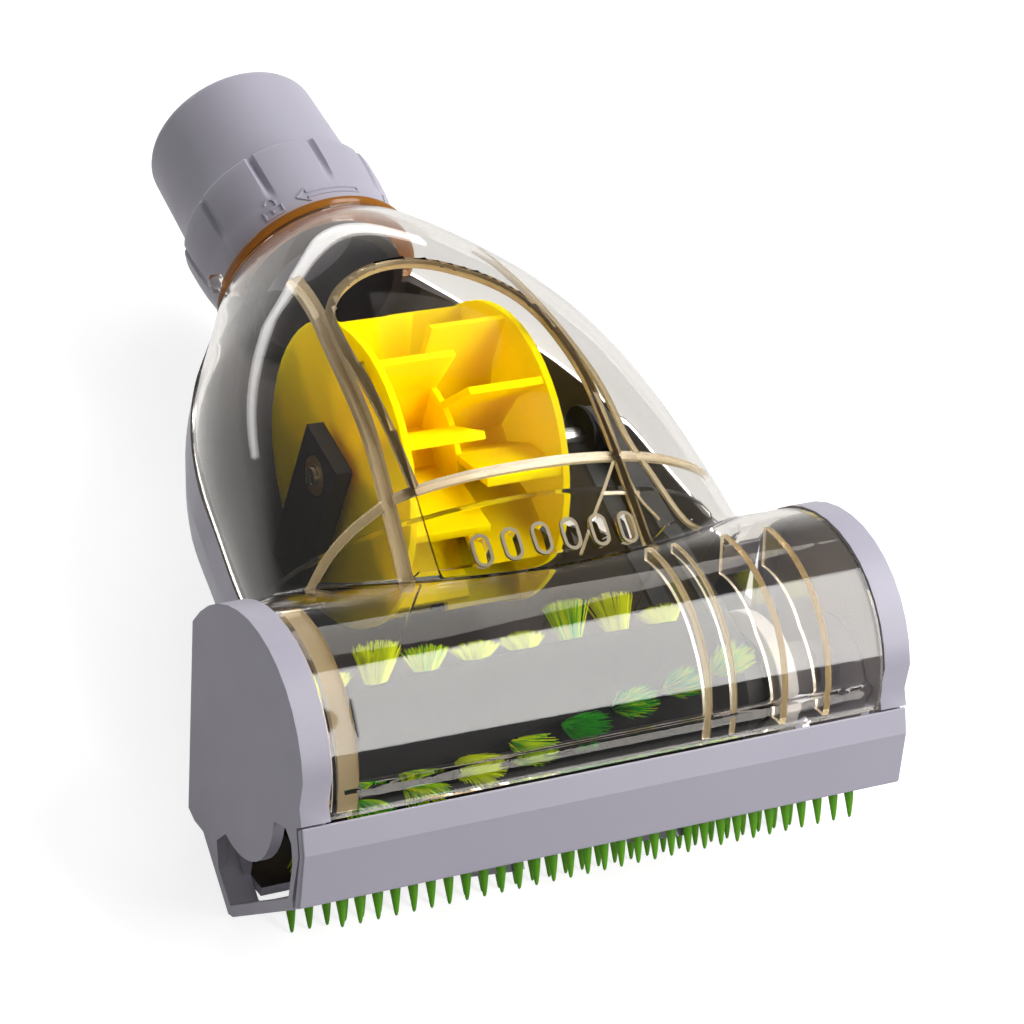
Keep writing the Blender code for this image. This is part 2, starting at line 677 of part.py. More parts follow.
# Lower housing: the bowl under the turbine, the back wall of the roller chamber, the spigot and two skids
SEAM_BACK = body_to_head(ARC_BODY[0] + sqrt(COVER_RADIUS ** 2 - ARC_BODY[1] ** 2), 0.0)
WALL_LOW = -58.0
WALL_PAST_SEAM = 1.15


def chamber_wall(radius, start):
    # Round the tufts, then straight up to where the cover ends at the seam
    outer = TUFT_RADIUS + CHAMBER_GAP + WALL
    dy, dz = SEAM_BACK[0] - ROLLER_Y, SEAM_BACK[1] - ROLLER_Z
    lean = atan2(dz, dy) - acos(outer / sqrt(dy ** 2 + dz ** 2))
    low = arc(ROLLER_Y, ROLLER_Z, radius, start, lean * 180 / pi, 16)
    rise = [SEAM_BACK[0] - ROLLER_Y - outer * cos(lean), SEAM_BACK[1] - ROLLER_Z - outer * sin(lean)]
    return low + [(low[-1][0] + rise[0] * WALL_PAST_SEAM, low[-1][1] + rise[1] * WALL_PAST_SEAM)]


housing = finish_mesh("lower_housing", shell_loft(HOUSING_STATIONS, 0.0, HOUSING_FULLNESS, 3.0, -1), body, GREY)
chamber = chamber_wall(TUFT_RADIUS + CHAMBER_GAP + WALL, WALL_LOW)
chamber += [(chamber[-1][0] - 14.0, chamber[-1][1] - 6.0), (ROLLER_Y - 2.0, ROLLER_Z)]
add(housing, prism_x(chamber, -INNER_HALF, INNER_HALF), head)
cut(housing, shell_loft(HOUSING_STATIONS, WALL + 0.2, HOUSING_FULLNESS, 6.0, -1, first=3.0, last=-5.0), body)
hollow = chamber_wall(TUFT_RADIUS + CHAMBER_GAP, WALL_LOW - 8.0)
hollow += [(10.0, 64.0), (-20.0, 40.0), (-20.0, -2.0), (16.8, -2.0)]
cut(housing, prism_x(hollow, -INNER_HALF - 1, INNER_HALF + 1), head)
cut(housing, box(-90, 90, -200, 20, -SEAM_GAP / 2, 60), body)
for side in (-1, 1):
    x0, x1 = side * POST_IN, side * POST_OUT
    post = box(min(x0, x1), max(x0, x1), TURBINE_Y - POST_HALF, TURBINE_Y + POST_HALF, -37.4, TURBINE_Z + POST_HALF)
    add(housing, post, body)
    hole = cylinder(BUSH_RADIUS + CLEAR, min(x0, x1) - 1, max(x0, x1) + 1, 24, TURBINE_Y, TURBINE_Z)
    cut(housing, hole, body)
    x0 = side * SKID_X - SKID_WIDTH / 2
    skid = [(SKID_START, -38.0), (SKID_START + 4.0, REST_LEVEL), (SKID_END - 6.0, REST_LEVEL), (SKID_END, -38.0)]
    add(housing, prism_x(skid, x0, x0 + SKID_WIDTH), body)
BEAD = SPIGOT_RADIUS + 0.6
spigot = [(SPIGOT_BORE, BACK_END - 4.5), (SPIGOT_RADIUS, BACK_END - 4.5), (SPIGOT_RADIUS, 10.4), (BEAD, 11.4),
          (BEAD, 12.0), (SPIGOT_RADIUS, 13.0), (SPIGOT_RADIUS - 0.4, SPIGOT_END), (SPIGOT_BORE, SPIGOT_END)]
cut(housing, prism_y(arc(0, 0, SPIGOT_RADIUS - 0.6, 0, 350, 35), BACK_END - 6.0, BACK_END + 2.0), body)
add(housing, turn(spigot, "Y", 36), body)
tidy(housing, 35)


# Air guide: the wall between the roller chamber and the turbine, with the nozzle and the belt slot
guide_top = section(GUIDE_HALF, GUIDE_TOP, 2.0, 20, 0.0)[:-2]
guide_low = section(GUIDE_LOW_HALF, GUIDE_LOW, HOUSING_FULLNESS, 20, 0.0, -1)[:-2]
guide_points = guide_top + list(reversed(guide_low))[1:-1]
guide = finish_mesh("air_guide", prism_y(guide_points, GUIDE_Y - GUIDE_THICK, GUIDE_Y), body, GREY)
cut(guide, box(-18.5, 18.5, GUIDE_Y - 5, GUIDE_Y + 5, -27.0, 2.0), body)
cut(guide, box(BELT_X - BELT_WIDTH / 2 - 1.2, BELT_X + BELT_WIDTH / 2 + 1.2, GUIDE_Y - 5, GUIDE_Y + 5, -22.0, 5.0), body)
tidy(guide)


# Clear cover: dome and roller cover in one moulding, with the arch rib, the cross rib and the vents
def arch_outline(grow):
    half = ARCH_HALF + grow
    top = ARCH_TOP - ARCH_HALF
    out = [(half, -120.0)]
    out += arc(0.0, top, half, 0.0, 180.0, 14)
    out.append((-half, -120.0))
    return out


cover = finish_mesh("clear_cover", shell_loft(COVER_STATIONS, 0.0, COVER_FULLNESS, 3.0), body, CLEAR_MAT)
add(cover, cylinder(COVER_RADIUS, -INNER_HALF, INNER_HALF, 56, *ARC_BODY), body)
cut(cover, shell_loft(COVER_STATIONS, WALL, COVER_FULLNESS, 6.0, first=2.2, last=-2.0), body)
cut(cover, cylinder(COVER_RADIUS - COVER_WALL, -INNER_HALF - 1, INNER_HALF + 1, 56, *ARC_BODY), body)
ribs = finish_mesh("ribs", prism_z(arch_outline(RIB_THICK), 6.0, 50.0), body)
cut(ribs, prism_z(arch_outline(0.0)[1:-1] + [(-ARCH_HALF, -130.0), (ARCH_HALF, -130.0)], 5.0, 51.0), body)
add(ribs, box(-CROSS_RIB_HALF, CROSS_RIB_HALF, CROSS_RIB_Y - RIB_THICK, CROSS_RIB_Y, 6.0, 50.0), body)
combine(ribs, helper(shell_loft(COVER_STATIONS, 0.8, COVER_FULLNESS, 3.0), body), "INTERSECT")
cut(ribs, shell_loft(COVER_STATIONS, RIB_DEPTH, COVER_FULLNESS, 6.0, last=-4.0), body)
cut(ribs, cylinder(COVER_RADIUS - 0.8, -70, 70, 56, *ARC_BODY), body)
combine(cover, ribs, "UNION")
for x in (BELT_X - BELT_WIDTH / 2 - CLEAR - FLANGE_THICK, BELT_X + 7.4):
    plate = finish_mesh("plate", cylinder(COVER_RADIUS - 0.6, x, x + PARTITION_THICK, 56, COVER_ARC_Y, COVER_ARC_Z), head)
    cut(plate, cylinder(PARTITION_BORE, x - 1, x + PARTITION_THICK + 1, 32, ROLLER_Y, ROLLER_Z), head)
    cut(plate, box(x - 1, x + PARTITION_THICK + 1, PARTITION_REACH, 90, -90, 90), head)
    combine(cover, plate, "UNION")
add(cover, box(-27.0, -22.6, -4.6, 1.0, -2.0, 3.4), body)
cut(cover, box(-90, 90, ARC_BODY[0] - COVER_RADIUS / 2, 30, -80, SEAM_GAP / 2), body)
cut(cover, box(-90, 90, -40, 80, -60, COVER_LIP), head)
cut(cover, prism_y(arc(0, 0, SPIGOT_RADIUS + CLEAR, 0, 350, 35), BACK_END - 6.0, 5.0), body)
for i in range(VENTS):
    x = (i - (VENTS - 1) / 2) * VENT_PITCH
    ends = VENT_LENGTH / 2 - VENT_WIDTH / 2
    oval = arc(x, VENT_Y + ends, VENT_WIDTH / 2, 0, 180, 7) + arc(x, VENT_Y - ends, VENT_WIDTH / 2, 180, 360, 7)
    cut(cover, prism_z(oval, 12.0, 45.0), body)
tidy(cover, 30)

# Neck: the amber seal, and the collar and tube in one moulding
seal = [(SPIGOT_RADIUS + CLEAR, BACK_END + CLEAR), (RING_RADIUS - 0.8, BACK_END + CLEAR), (RING_RADIUS, -1.0),
        (RING_RADIUS, 0.2), (RING_RADIUS - 0.8, 0.8), (SPIGOT_RADIUS + CLEAR, 0.8)]
seal_ring = finish_mesh("neck_seal_ring", turn(seal, "Y", 48), neck, AMBER, 40)
cut(seal_ring, box(-27.0 - CLEAR, -22.6 + CLEAR, -5, 2, SEAM_GAP / 2 - CLEAR, 3.4 + CLEAR), body)
tidy(seal_ring, 40)

COLLAR_START = 0.8 + CLEAR
GRIP_FROM, GRIP_TO = 3.0, COLLAR_END - 3.0
collar_bore = SPIGOT_RADIUS + CLEAR
neck_profile = [
    (collar_bore, COLLAR_START), (COLLAR_RADIUS - 0.5, COLLAR_START), (COLLAR_RADIUS, COLLAR_START + 0.6),
    (COLLAR_RADIUS, GRIP_FROM), (COLLAR_RADIUS, GRIP_FROM + 1.5), (COLLAR_RADIUS, GRIP_TO), (COLLAR_RADIUS, COLLAR_END),
    (TUBE_RADIUS, COLLAR_END + 1.0), (TUBE_TIP_RADIUS, TUBE_END - 0.6), (TUBE_TIP_RADIUS - 0.6, TUBE_END),
    (NECK_BORE, TUBE_END), (NECK_BORE, SPIGOT_END + CLEAR), (collar_bore, SPIGOT_END + CLEAR),
    (collar_bore, 13.2), (BEAD + CLEAR, 12.2), (BEAD + CLEAR, 11.2), (collar_bore, 10.2)]
GRIP_POINTS = (4, 5, 6)


def grip_radius(index, r, p, a):
    if index not in GRIP_POINTS:
        return r
    wave = cos(GRIP_COUNT * a)
    groove = max(0.0, min(1.0, (wave - 0.55) / 0.3))
    return r - GRIP_DEPTH * groove


finish_mesh("neck_tube", turn(neck_profile, "Y", 48, radius_at=grip_radius), neck, GREY, 30)

# Stand the part on its lowest point, centred on the row origin
bpy.context.view_layer.update()
graph = bpy.context.evaluated_depsgraph_get()
corners = []
for ob in bpy.context.scene.objects:
    if ob.type == "MESH" and not ob.hide_render:
        mesh = ob.evaluated_get(graph).to_mesh()
        corners += [ob.matrix_world @ v.co for v in mesh.vertices]
low = [min(c[i] for c in corners) for i in range(3)]
high = [max(c[i] for c in corners) for i in range(3)]
body.location = (-(low[0] + high[0]) / 2, -(low[1] + high[1]) / 2, -low[2])
bpy.context.view_layer.update()
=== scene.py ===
import bpy
import bmesh
import random
from math import sin, cos, pi, radians, sqrt, atan2
from mathutils import Vector, Matrix


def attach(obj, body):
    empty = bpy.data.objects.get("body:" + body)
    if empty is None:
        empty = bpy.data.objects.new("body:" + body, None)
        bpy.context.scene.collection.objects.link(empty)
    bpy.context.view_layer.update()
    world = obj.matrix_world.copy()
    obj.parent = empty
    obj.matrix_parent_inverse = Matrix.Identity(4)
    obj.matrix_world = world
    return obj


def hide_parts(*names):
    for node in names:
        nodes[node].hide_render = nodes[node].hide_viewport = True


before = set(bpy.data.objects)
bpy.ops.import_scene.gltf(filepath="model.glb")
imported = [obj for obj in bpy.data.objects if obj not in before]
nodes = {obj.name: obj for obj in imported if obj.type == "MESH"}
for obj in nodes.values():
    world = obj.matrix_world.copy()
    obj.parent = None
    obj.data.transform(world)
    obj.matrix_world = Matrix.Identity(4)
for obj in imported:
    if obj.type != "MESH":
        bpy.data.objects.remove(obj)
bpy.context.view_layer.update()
print("frame loaded,", len(nodes), "nodes")

# Shapes are in millimetres in the neck's own axes, where y runs out along the tube; lamps and camera are in metres
mm = 0.001
bodyShift = Vector((0, 56.429, 42.277))   # where those axes start in the frame
soleAngle = radians(52.5)                 # the sole leans this much against the neck's axis
headStart = (-160.9, -14.6)               # front bottom edge of the bumper


def bodyPoint(x, y, z):
    return (Vector((x, y, z)) + bodyShift) * mm


def headToBody(y, z):
    # From the head's axes, y back along the sole and z up from it, to the neck's
    return (headStart[0] + y * cos(soleAngle) + z * sin(soleAngle),
            headStart[1] - y * sin(soleAngle) + z * cos(soleAngle))


def headTurn(y, z):
    # The same for a direction
    return Vector((0, *headToBody(y, z))) - Vector((0, *headToBody(0, 0)))


def placed(name, data):
    thing = bpy.data.objects.new(name, data)
    bpy.context.scene.collection.objects.link(thing)
    return thing


# Camera, at the photograph's angle
view = {"place": (-0.3981, -0.5249, 0.6206), "right": (0.8695, -0.4287, 0.2450),
        "up": (0.1439, 0.6946, 0.7048), "back": (-0.4723, -0.5777, 0.6657),
        "lens": 139.87, "sensor": 36, "reach": 20}
camera = placed("camera", bpy.data.cameras.new("camera"))
camera.data.lens = view["lens"]
camera.data.sensor_width = view["sensor"]
camera.data.clip_end = view["reach"]
cameraTurn = Matrix((view["right"], view["up"], view["back"])).transposed()
camera.matrix_world = Matrix.Translation(view["place"]) @ cameraTurn.to_4x4()
bpy.context.scene.camera = camera
bpy.context.scene.view_settings.view_transform = "Standard"


# Small helpers for node trees
def newMaterial(name):
    mat = bpy.data.materials.new(name)
    mat.use_nodes = True
    return mat, mat.node_tree, mat.node_tree.nodes["Principled BSDF"]


def fill(node, values):
    for socket, value in values.items():
        node.inputs[socket].default_value = value


def addNode(tree, kind, values={}, **settings):
    node = tree.nodes.new("ShaderNode" + kind)
    for setting, value in settings.items():
        setattr(node, setting, value)
    fill(node, values)
    return node


def wire(tree, *runs):
    # Each run goes from a node's output to another node's input
    for source, output, target, socket in runs:
        tree.links.new(source.outputs[output], target.inputs[socket])


def noiseBump(tree, shader, scale, depth, detail=3.0, stretch=None):
    coords = addNode(tree, "TexCoord")
    noise = addNode(tree, "TexNoise", {"Scale": scale, "Detail": detail})
    bump = addNode(tree, "Bump", {"Strength": 1.0, "Distance": depth})
    if stretch:
        mapping = addNode(tree, "Mapping", {"Scale": stretch})
        wire(tree, (coords, "Object", mapping, "Vector"), (mapping, "Vector", noise, "Vector"))
    else:
        wire(tree, (coords, "Object", noise, "Vector"))
    wire(tree, (noise, "Fac", bump, "Height"), (bump, "Normal", shader, "Normal"))
    return coords, noise


def toneFrom(tree, shader, noise, light, dark):
    ramp = addNode(tree, "ValToRGB")
    for stop, position, colour in zip(ramp.color_ramp.elements, (0.3, 0.7), (dark, light)):
        stop.position, stop.color = position, (*colour, 1)
    wire(tree, (noise, "Fac", ramp, "Fac"), (ramp, "Color", shader, "Base Color"))


def glossFrom(tree, shader, noise, low, high):
    spread = addNode(tree, "MapRange", {"To Min": low, "To Max": high})
    wire(tree, (noise, "Fac", spread, "Value"), (spread, "Result", shader, "Roughness"))


noises = {"cloud": {"Scale": 22, "Detail": 5}, "wear": {"Scale": 160, "Detail": 6},
          "ripple": {"scale": 45, "depth": 0.00003, "detail": 1}}


# Moulded plastic: fine spark-worn grain, slow cloudy change of tone and of gloss
def mouldedPlastic(name, light, dark, rough=(0.45, 0.6), grain=2600, depth=0.00002, more={}):
    mat, tree, shader = newMaterial(name)
    coords = noiseBump(tree, shader, grain, depth)[0]
    cloud = addNode(tree, "TexNoise", noises["cloud"])
    wear = addNode(tree, "TexNoise", noises["wear"])
    wire(tree, (coords, "Object", cloud, "Vector"), (coords, "Object", wear, "Vector"))
    toneFrom(tree, shader, cloud, light, dark)
    glossFrom(tree, shader, wear, *rough)
    fill(shader, more)
    return mat


# Metal: one grain gives its tone, gloss and relief
def bareMetal(name, light, dark, rough, grain, depth, detail, stretch=None):
    mat, tree, shader = newMaterial(name)
    fill(shader, {"Metallic": 1.0})
    noise = noiseBump(tree, shader, grain, depth, detail, stretch)[1]
    toneFrom(tree, shader, noise, light, dark)
    glossFrom(tree, shader, noise, *rough)
    return mat


# Clear mouldings let the lamps through, so that what they hold is lit
def clearPlastic(name, shade, tint, rough=0.02, bend=1.49, density=0, colour=(1, 1, 1), more={}):
    mat, tree, shader = newMaterial(name)
    fill(shader, {"Base Color": (1, 1, 1, 1), "Transmission Weight": 1.0, "Roughness": rough, "IOR": bend,
                  "Specular Tint": (tint, tint, tint, 1)})
    fill(shader, more)
    noiseBump(tree, shader, **noises["ripple"])
    out = tree.nodes["Material Output"]
    see = addNode(tree, "BsdfTransparent", {"Color": (*shade, 1)})
    path = addNode(tree, "LightPath")
    mix = addNode(tree, "MixShader")
    wire(tree, (path, "Is Shadow Ray", mix, "Fac"), (shader, "BSDF", mix, 1), (see, "BSDF", mix, 2),
         (mix, "Shader", out, "Surface"))
    if density:
        soak = addNode(tree, "VolumeAbsorption", {"Color": (*colour, 1), "Density": density})
        wire(tree, (soak, "Volume", out, "Volume"))
    return mat


smoky = (0.925, 0.885, 0.82)
plastics = {
    "lavenderGrey": {"light": (0.435, 0.414, 0.490), "dark": (0.405, 0.386, 0.460), "rough": (0.36, 0.5),
                     "more": {"Specular IOR Level": 0.45}},
    "turbineYellow": {"light": (1.0, 0.70, 0.002), "dark": (1.0, 0.66, 0.0015), "grain": 900,
                      "more": {"IOR": 1.04, "Subsurface Weight": 0.6, "Subsurface Scale": 1.0,
                               "Subsurface Radius": (0.012, 0.008, 0.0008)}},
    "rollerDark": {"light": (0.012, 0.012, 0.014), "dark": (0.007, 0.007, 0.008), "grain": 1800, "more": {"IOR": 1.12}},
    # painted shade: the lower housing's inside is the same grey plastic as its outside, and this darker grey stands in
    # for the shade within it
    "hollowPaintedShade": {"light": (0.085, 0.078, 0.084), "dark": (0.050, 0.046, 0.050), "more": {"IOR": 1.15}},
    # painted shade: near black for the bowl's bearing posts, the wall round the roller and the way out to the neck,
    # where they lie in deep shade
    "deepPaintedShade": {"light": (0.022, 0.016, 0.016), "dark": (0.012, 0.009, 0.009), "rough": (0.34, 0.5)},
    "bearingPale": {"light": (0.44, 0.42, 0.42), "dark": (0.38, 0.365, 0.37), "rough": (0.35, 0.5)},
    "beltRubber": {"light": (0.022, 0.022, 0.023), "dark": (0.012, 0.012, 0.012), "rough": (0.6, 0.8),
                   "grain": 3800, "depth": 0.00005},
    "combRubber": {"light": (0.115, 0.34, 0.014), "dark": (0.080, 0.27, 0.009), "rough": (0.34, 0.5), "grain": 1500,
                   "more": {"IOR": 1.3, "Subsurface Weight": 0.2, "Subsurface Scale": 1.0,
                            "Subsurface Radius": (0.001, 0.002, 0.0004)}},
    "bristleLime": {"light": (0.80, 0.86, 0.01), "dark": (0.66, 0.80, 0.008), "rough": (0.3, 0.45), "grain": 900,
                    "more": {"IOR": 1.15}},
    "bristleGreen": {"light": (0.055, 0.52, 0.03), "dark": (0.03, 0.40, 0.02), "rough": (0.3, 0.45), "grain": 900,
                     "more": {"IOR": 1.15}}}
metals = {
    "drawnSteel": {"light": (0.66, 0.66, 0.67), "dark": (0.50, 0.50, 0.51), "rough": (0.18, 0.34),
                   "grain": 600, "depth": 0.00001, "detail": 4, "stretch": (0.05, 1, 1)},
    "sinteredBrass": {"light": (0.78, 0.58, 0.28), "dark": (0.60, 0.42, 0.18), "rough": (0.3, 0.45),
                      "grain": 1500, "depth": 0.00002, "detail": 5}}
clears = {   # the window over the wheel bends light less, so that the lamp's mirror image keeps off it
    "coverClear": {"shade": (1.0, 0.995, 0.98), "tint": 0.0, "bend": 1.18, "density": 220, "colour": smoky},
    "rollerClear": {"shade": (1.0, 0.995, 0.98), "tint": 0.85, "density": 300, "colour": smoky},
    "domeClear": {"shade": (1.0, 0.995, 0.98), "tint": 1.0, "density": 220, "colour": smoky,
                  "more": {"Specular IOR Level": 0.7}},
    "ribClear": {"shade": (0.97, 0.95, 0.88), "tint": 0.4, "rough": 0.30, "density": 300, "colour": (0.86, 0.76, 0.52),
                 "more": {"Base Color": (0.58, 0.48, 0.29, 1), "Transmission Weight": 0.55}},
    "guideClear": {"shade": (0.97, 0.93, 0.88), "tint": 0.1, "rough": 0.03, "bend": 1.12,
                   "more": {"Base Color": (0.96, 0.93, 0.88, 1)}},
    "sealAmber": {"shade": (0.85, 0.6, 0.25), "tint": 0.8, "rough": 0.12, "density": 260, "colour": (0.86, 0.60, 0.24),
                  "more": {"Base Color": (0.44, 0.185, 0.02, 1), "Transmission Weight": 0.45}}}

looks = {}
for maker, table in ((mouldedPlastic, plastics), (bareMetal, metals), (clearPlastic, clears)):
    for name, values in table.items():
        looks[name] = maker(name, **values)

wearers = {
    "lavenderGrey": ("left_end_cap", "right_end_cap", "front_bumper", "sole_plate", "lower_housing", "air_guide",
                     "neck_tube"),
    "bearingPale": ("roller_end_collar",),
    "rollerDark": ("roller_core", "roller_pulley", "turbine_pulley"),
    "drawnSteel": ("roller_shaft", "turbine_shaft"),
    "sinteredBrass": ("left_roller_bush", "right_roller_bush", "left_turbine_bush", "right_turbine_bush"),
    "beltRubber": ("drive_belt",),
    "combRubber": ("front_comb", "rear_comb"),
    "turbineYellow": ("turbine_wheel",),
    "coverClear": ("clear_cover",),
    "sealAmber": ("neck_seal_ring",),
    "bristleLime": ("lime_tuft_strip_front", "lime_tuft_strip_back"),
    "bristleGreen": ("green_tuft_strip", "green_tuft_strip_back")}
for look, names in wearers.items():
    for name in names:
        nodes[name].data.materials.clear()
        nodes[name].data.materials.append(looks[look])
print("materials made")


# Small helpers for meshes
def meshObject(name, bm, look, smooth=None):
    # bm is in millimetres in the neck's own axes
    for v in bm.verts:
        v.co = bodyPoint(*v.co)
    mesh = bpy.data.meshes.new(name)
    bm.to_mesh(mesh)
    bm.free()
    mesh.materials.append(looks[look])
    if smooth is not None:
        mesh.shade_smooth()
        mesh.set_sharp_from_angle(angle=radians(smooth))
    return placed(name, mesh)


def applied(piece):
    # Bakes the live modifiers into the mesh
    bpy.context.view_layer.update()
    graph = bpy.context.evaluated_depsgraph_get()
    mesh = bpy.data.meshes.new_from_object(piece.evaluated_get(graph))
    old = piece.data
    piece.modifiers.clear()
    piece.data = mesh
    mesh.name = piece.name
    bpy.data.meshes.remove(old)
    return piece


def joined(piece, others, operation="UNION"):
    for other in others:
        mod = piece.modifiers.new("join", "BOOLEAN")
        mod.operation = operation
        mod.solver = "EXACT"
        mod.object = other
    applied(piece)
    for other in others:
        bpy.data.objects.remove(other, do_unlink=True)


def thickened(piece, thick):
    mod = piece.modifiers.new("thick", "SOLIDIFY")
    mod.thickness = thick * mm
    mod.offset = 0
    return applied(piece)


def bevelled(piece, width, angle, segments):
    edge = piece.modifiers.new("edge", "BEVEL")
    edge.width = width * mm
    edge.segments = segments
    edge.limit_method = "ANGLE"
    edge.angle_limit = radians(angle)
    edge.use_clamp_overlap = True
    edge.harden_normals = True


def sheetOver(bm, columns, rows, place):
    # A grid of faces, each corner put where place(u, v) says, u and v from 0 to 1
    made = bmesh.ops.create_grid(bm, x_segments=columns, y_segments=rows, size=1.0)
    for v in made["verts"]:
        v.co = place((v.co.x + 1) / 2, (v.co.y + 1) / 2)


def turned(profile, turns):
    # A closed outline of (radius, y), turned about the neck's axis
    bm = bmesh.new()
    ring = [bm.verts.new((r, y, 0)) for r, y in profile]
    edges = [bm.edges.new((ring[i], ring[(i + 1) % len(ring)])) for i in range(len(ring))]
    bmesh.ops.spin(bm, geom=ring + edges, cent=(0, 0, 0), axis=(0, 1, 0), dvec=(0, 0, 0), angle=2 * pi,
                   steps=turns, use_merge=True, use_duplicate=False)
    return bm


def section(size, y, smooth=True):
    # Half width, height and power of the oval at y: it leaves the neck round and fills out over the
    # first stations. A smooth section follows a soft curve through the stations, the other runs straight.
    stations = size["stations"]
    last = len(stations) - 1
    i = 0
    while i < last - 1 and y < stations[i + 1][0]:
        i += 1
    a, b = stations[i], stations[i + 1]
    step = a[0] - b[0]
    t = (a[0] - y) / step
    power = 2.0 + (size["fullness"] - 2.0) * min(1.0, (i + t) / size["roundFor"])
    if not smooth:
        return a[1] + (b[1] - a[1]) * t, a[2] + (b[2] - a[2]) * t, power
    before = stations[max(i - 1, 0)]
    after = stations[min(i + 2, last)]
    out = []
    for k in (1, 2):
        slopeA = (b[k] - before[k]) / (before[0] - b[0]) if i > 0 else (b[k] - a[k]) / step
        slopeB = (after[k] - a[k]) / (a[0] - after[0]) if i + 2 <= last else (b[k] - a[k]) / step
        out.append((2 * t**3 - 3 * t**2 + 1) * a[k] + (t**3 - 2 * t**2 + t) * step * slopeA
                   + (3 * t**2 - 2 * t**3) * b[k] + (t**3 - t**2) * step * slopeB)
    return (*out, power)


# Clear cover: a dome on oval sections that runs into a round cover over the roller
coverSizes = {
    "stations": [(-1.8, 24.0, 24.0), (-8.0, 28.6, 27.5), (-16.0, 33.8, 31.0), (-26.0, 40.4, 34.3),
                 (-36.0, 46.3, 36.6), (-48.0, 51.0, 38.4), (-60.0, 54.0, 38.75), (-74.0, 56.2, 37.3),
                 (-88.0, 58.2, 32.5), (-102.0, 59.4, 26.5), (-118.0, 60.0, 19.0)],
    "fullness": 2.06, "roundFor": 4, "seam": 0.15, "wall": 1.6,
    "arcHead": (14.2, 34.4), "radius": 28.7, "half": 65.7, "lip": 16.2,   # round cover, in the head's axes
    "welt": {"height": 20.4, "wide": 2.0, "deep": 0.7, "endGap": 2.5},
    "fillet": 2.2, "filletFade": (0.5, 0.7),
    "neckBore": 19.3, "rimRows": (0.86, 0.72, 0.5, 0.25, 0.0),
    "across": 120, "alongArc": 72, "alongBend": 8, "alongDome": 70, "alongSides": 4,
    "meetBetween": (-122.0, -80.0), "near": 0.05, "weld": 0.02,
    "window": (-25.4, 24.0)}
coverSlots = ("coverClear", "rollerClear", "ribClear", "domeClear")   # window, roller cover, ribs, dome

# Ribs, vents and plates of the cover: x across, y along the neck's axis, read on the outer face
ribSizes = {
    "thick": 1.9, "depth": 2.1, "sink": 0.7, "step": 1.6, "archLegs": -75,
    "paths": {
        "arch": [(-24.6, -92), (-25.2, -80), (-25.6, -66), (-25.4, -54), (-24.4, -45.5), (-20.6, -39.2),
                 (-15.2, -35.4), (-9.0, -33.6), (-2.6, -33.8), (4.0, -36.0), (10.2, -39.8), (15.4, -43.8),
                 (19.4, -48.8), (22.0, -55.4), (23.4, -64), (24.2, -74), (24.3, -86), (24.2, -99),
                 (24.4, -108), (24.2, -114)],
        "leftLong": [(-23.6, -27), (-25.4, -41), (-27.4, -54), (-28.6, -68), (-29.4, -80), (-30.6, -92),
                     (-31.6, -103), (-32.6, -111)],
        "rightLong": [(20.4, -27), (22.4, -45), (25.2, -64), (27.2, -76), (28.6, -88), (31.4, -95),
                      (35.4, -104.5), (39.5, -109)],
        "cross": [(-53.5, -108), (-49, -101.5), (-43, -97), (-35, -94), (-26, -92.4), (0, -92.4), (26, -92.0),
                  (50, -91.4)],
        "fanLeft": [(22.8, -93), (17.9, -99), (13.2, -104.4), (7.0, -112)],
        "fanRight": [(24.2, -93.6), (25.8, -101), (29.2, -106)],
        "fanTie": [(17.2, -100), (26.4, -100.2)]},
    "other": {"fanLeft": (0.7, 1.4), "fanRight": (0.7, 1.4), "fanTie": (0.7, 1.4), "rightLong": (1.4, 1.8),
              "leftLong": (2.6, 3.4)}}   # thickness and depth where they differ
ventSizes = {"count": 6, "first": -15.8, "pitch": 7.0, "along": -108.4, "half": (1.45, 2.9), "sides": 20,
             "rim": {"grow": 0.75, "depth": 2.2, "lift": -0.45}, "hole": {"grow": 0.0, "depth": 8.0, "lift": -0.5}}
plateSizes = {"plates": ((22.6, 1.7, 3.2), (28.9, 1.3, 2.6), (41.5, 1.6, 9.0), (52.4, 1.6, 9.0), (-61.7, 4.6, 2.6)),
              "between": (66, 165.5), "rows": 40, "sink": 0.7, "slimFrom": 0.55, "slim": 0.55}
latchSizes = {"centre": (-25.4, 0.2, 2.1), "size": (3.0, 3.8, 2.8), "edge": 0.5}


def aboutArc(y, z):
    # Angle and distance of a point about the roller cover's axis
    cy, cz = headToBody(*coverSizes["arcHead"])
    return atan2(z - cz, y - cy), sqrt((y - cy) ** 2 + (z - cz) ** 2)


def arcPoint(x, radius, angle):
    cy, cz = headToBody(*coverSizes["arcHead"])
    return Vector((x, cy + radius * cos(angle), cz + radius * sin(angle)))


def arcAngle(height):
    # Where the front of the roller cover's face reaches a height above the sole
    y, z = coverSizes["arcHead"]
    return aboutArc(*headToBody(y - sqrt(coverSizes["radius"] ** 2 - (z - height) ** 2), height))[0]


def domePoint(angle, y):
    # Point of the dome at an angle from +X over the top
    half, tall, power = section(coverSizes, y)
    c, s = cos(angle), sin(angle)
    r = (abs(c) ** power + abs(s) ** power) ** (-1 / power)
    return Vector((half * c * r, y, tall * s * r + coverSizes["seam"]))


def coverTop(x, y):
    # Height of the outer face over a point, dome or roller cover, whichever is higher
    half, tall, power = section(coverSizes, y)
    dome = tall * max(0.0, 1 - min(1.0, abs(x) / half) ** power) ** (1 / power) + coverSizes["seam"]
    cy, cz = headToBody(*coverSizes["arcHead"])
    reach = coverSizes["radius"] ** 2 - (y - cy) ** 2
    return max(dome, cz + sqrt(reach)) if reach > 0 else dome


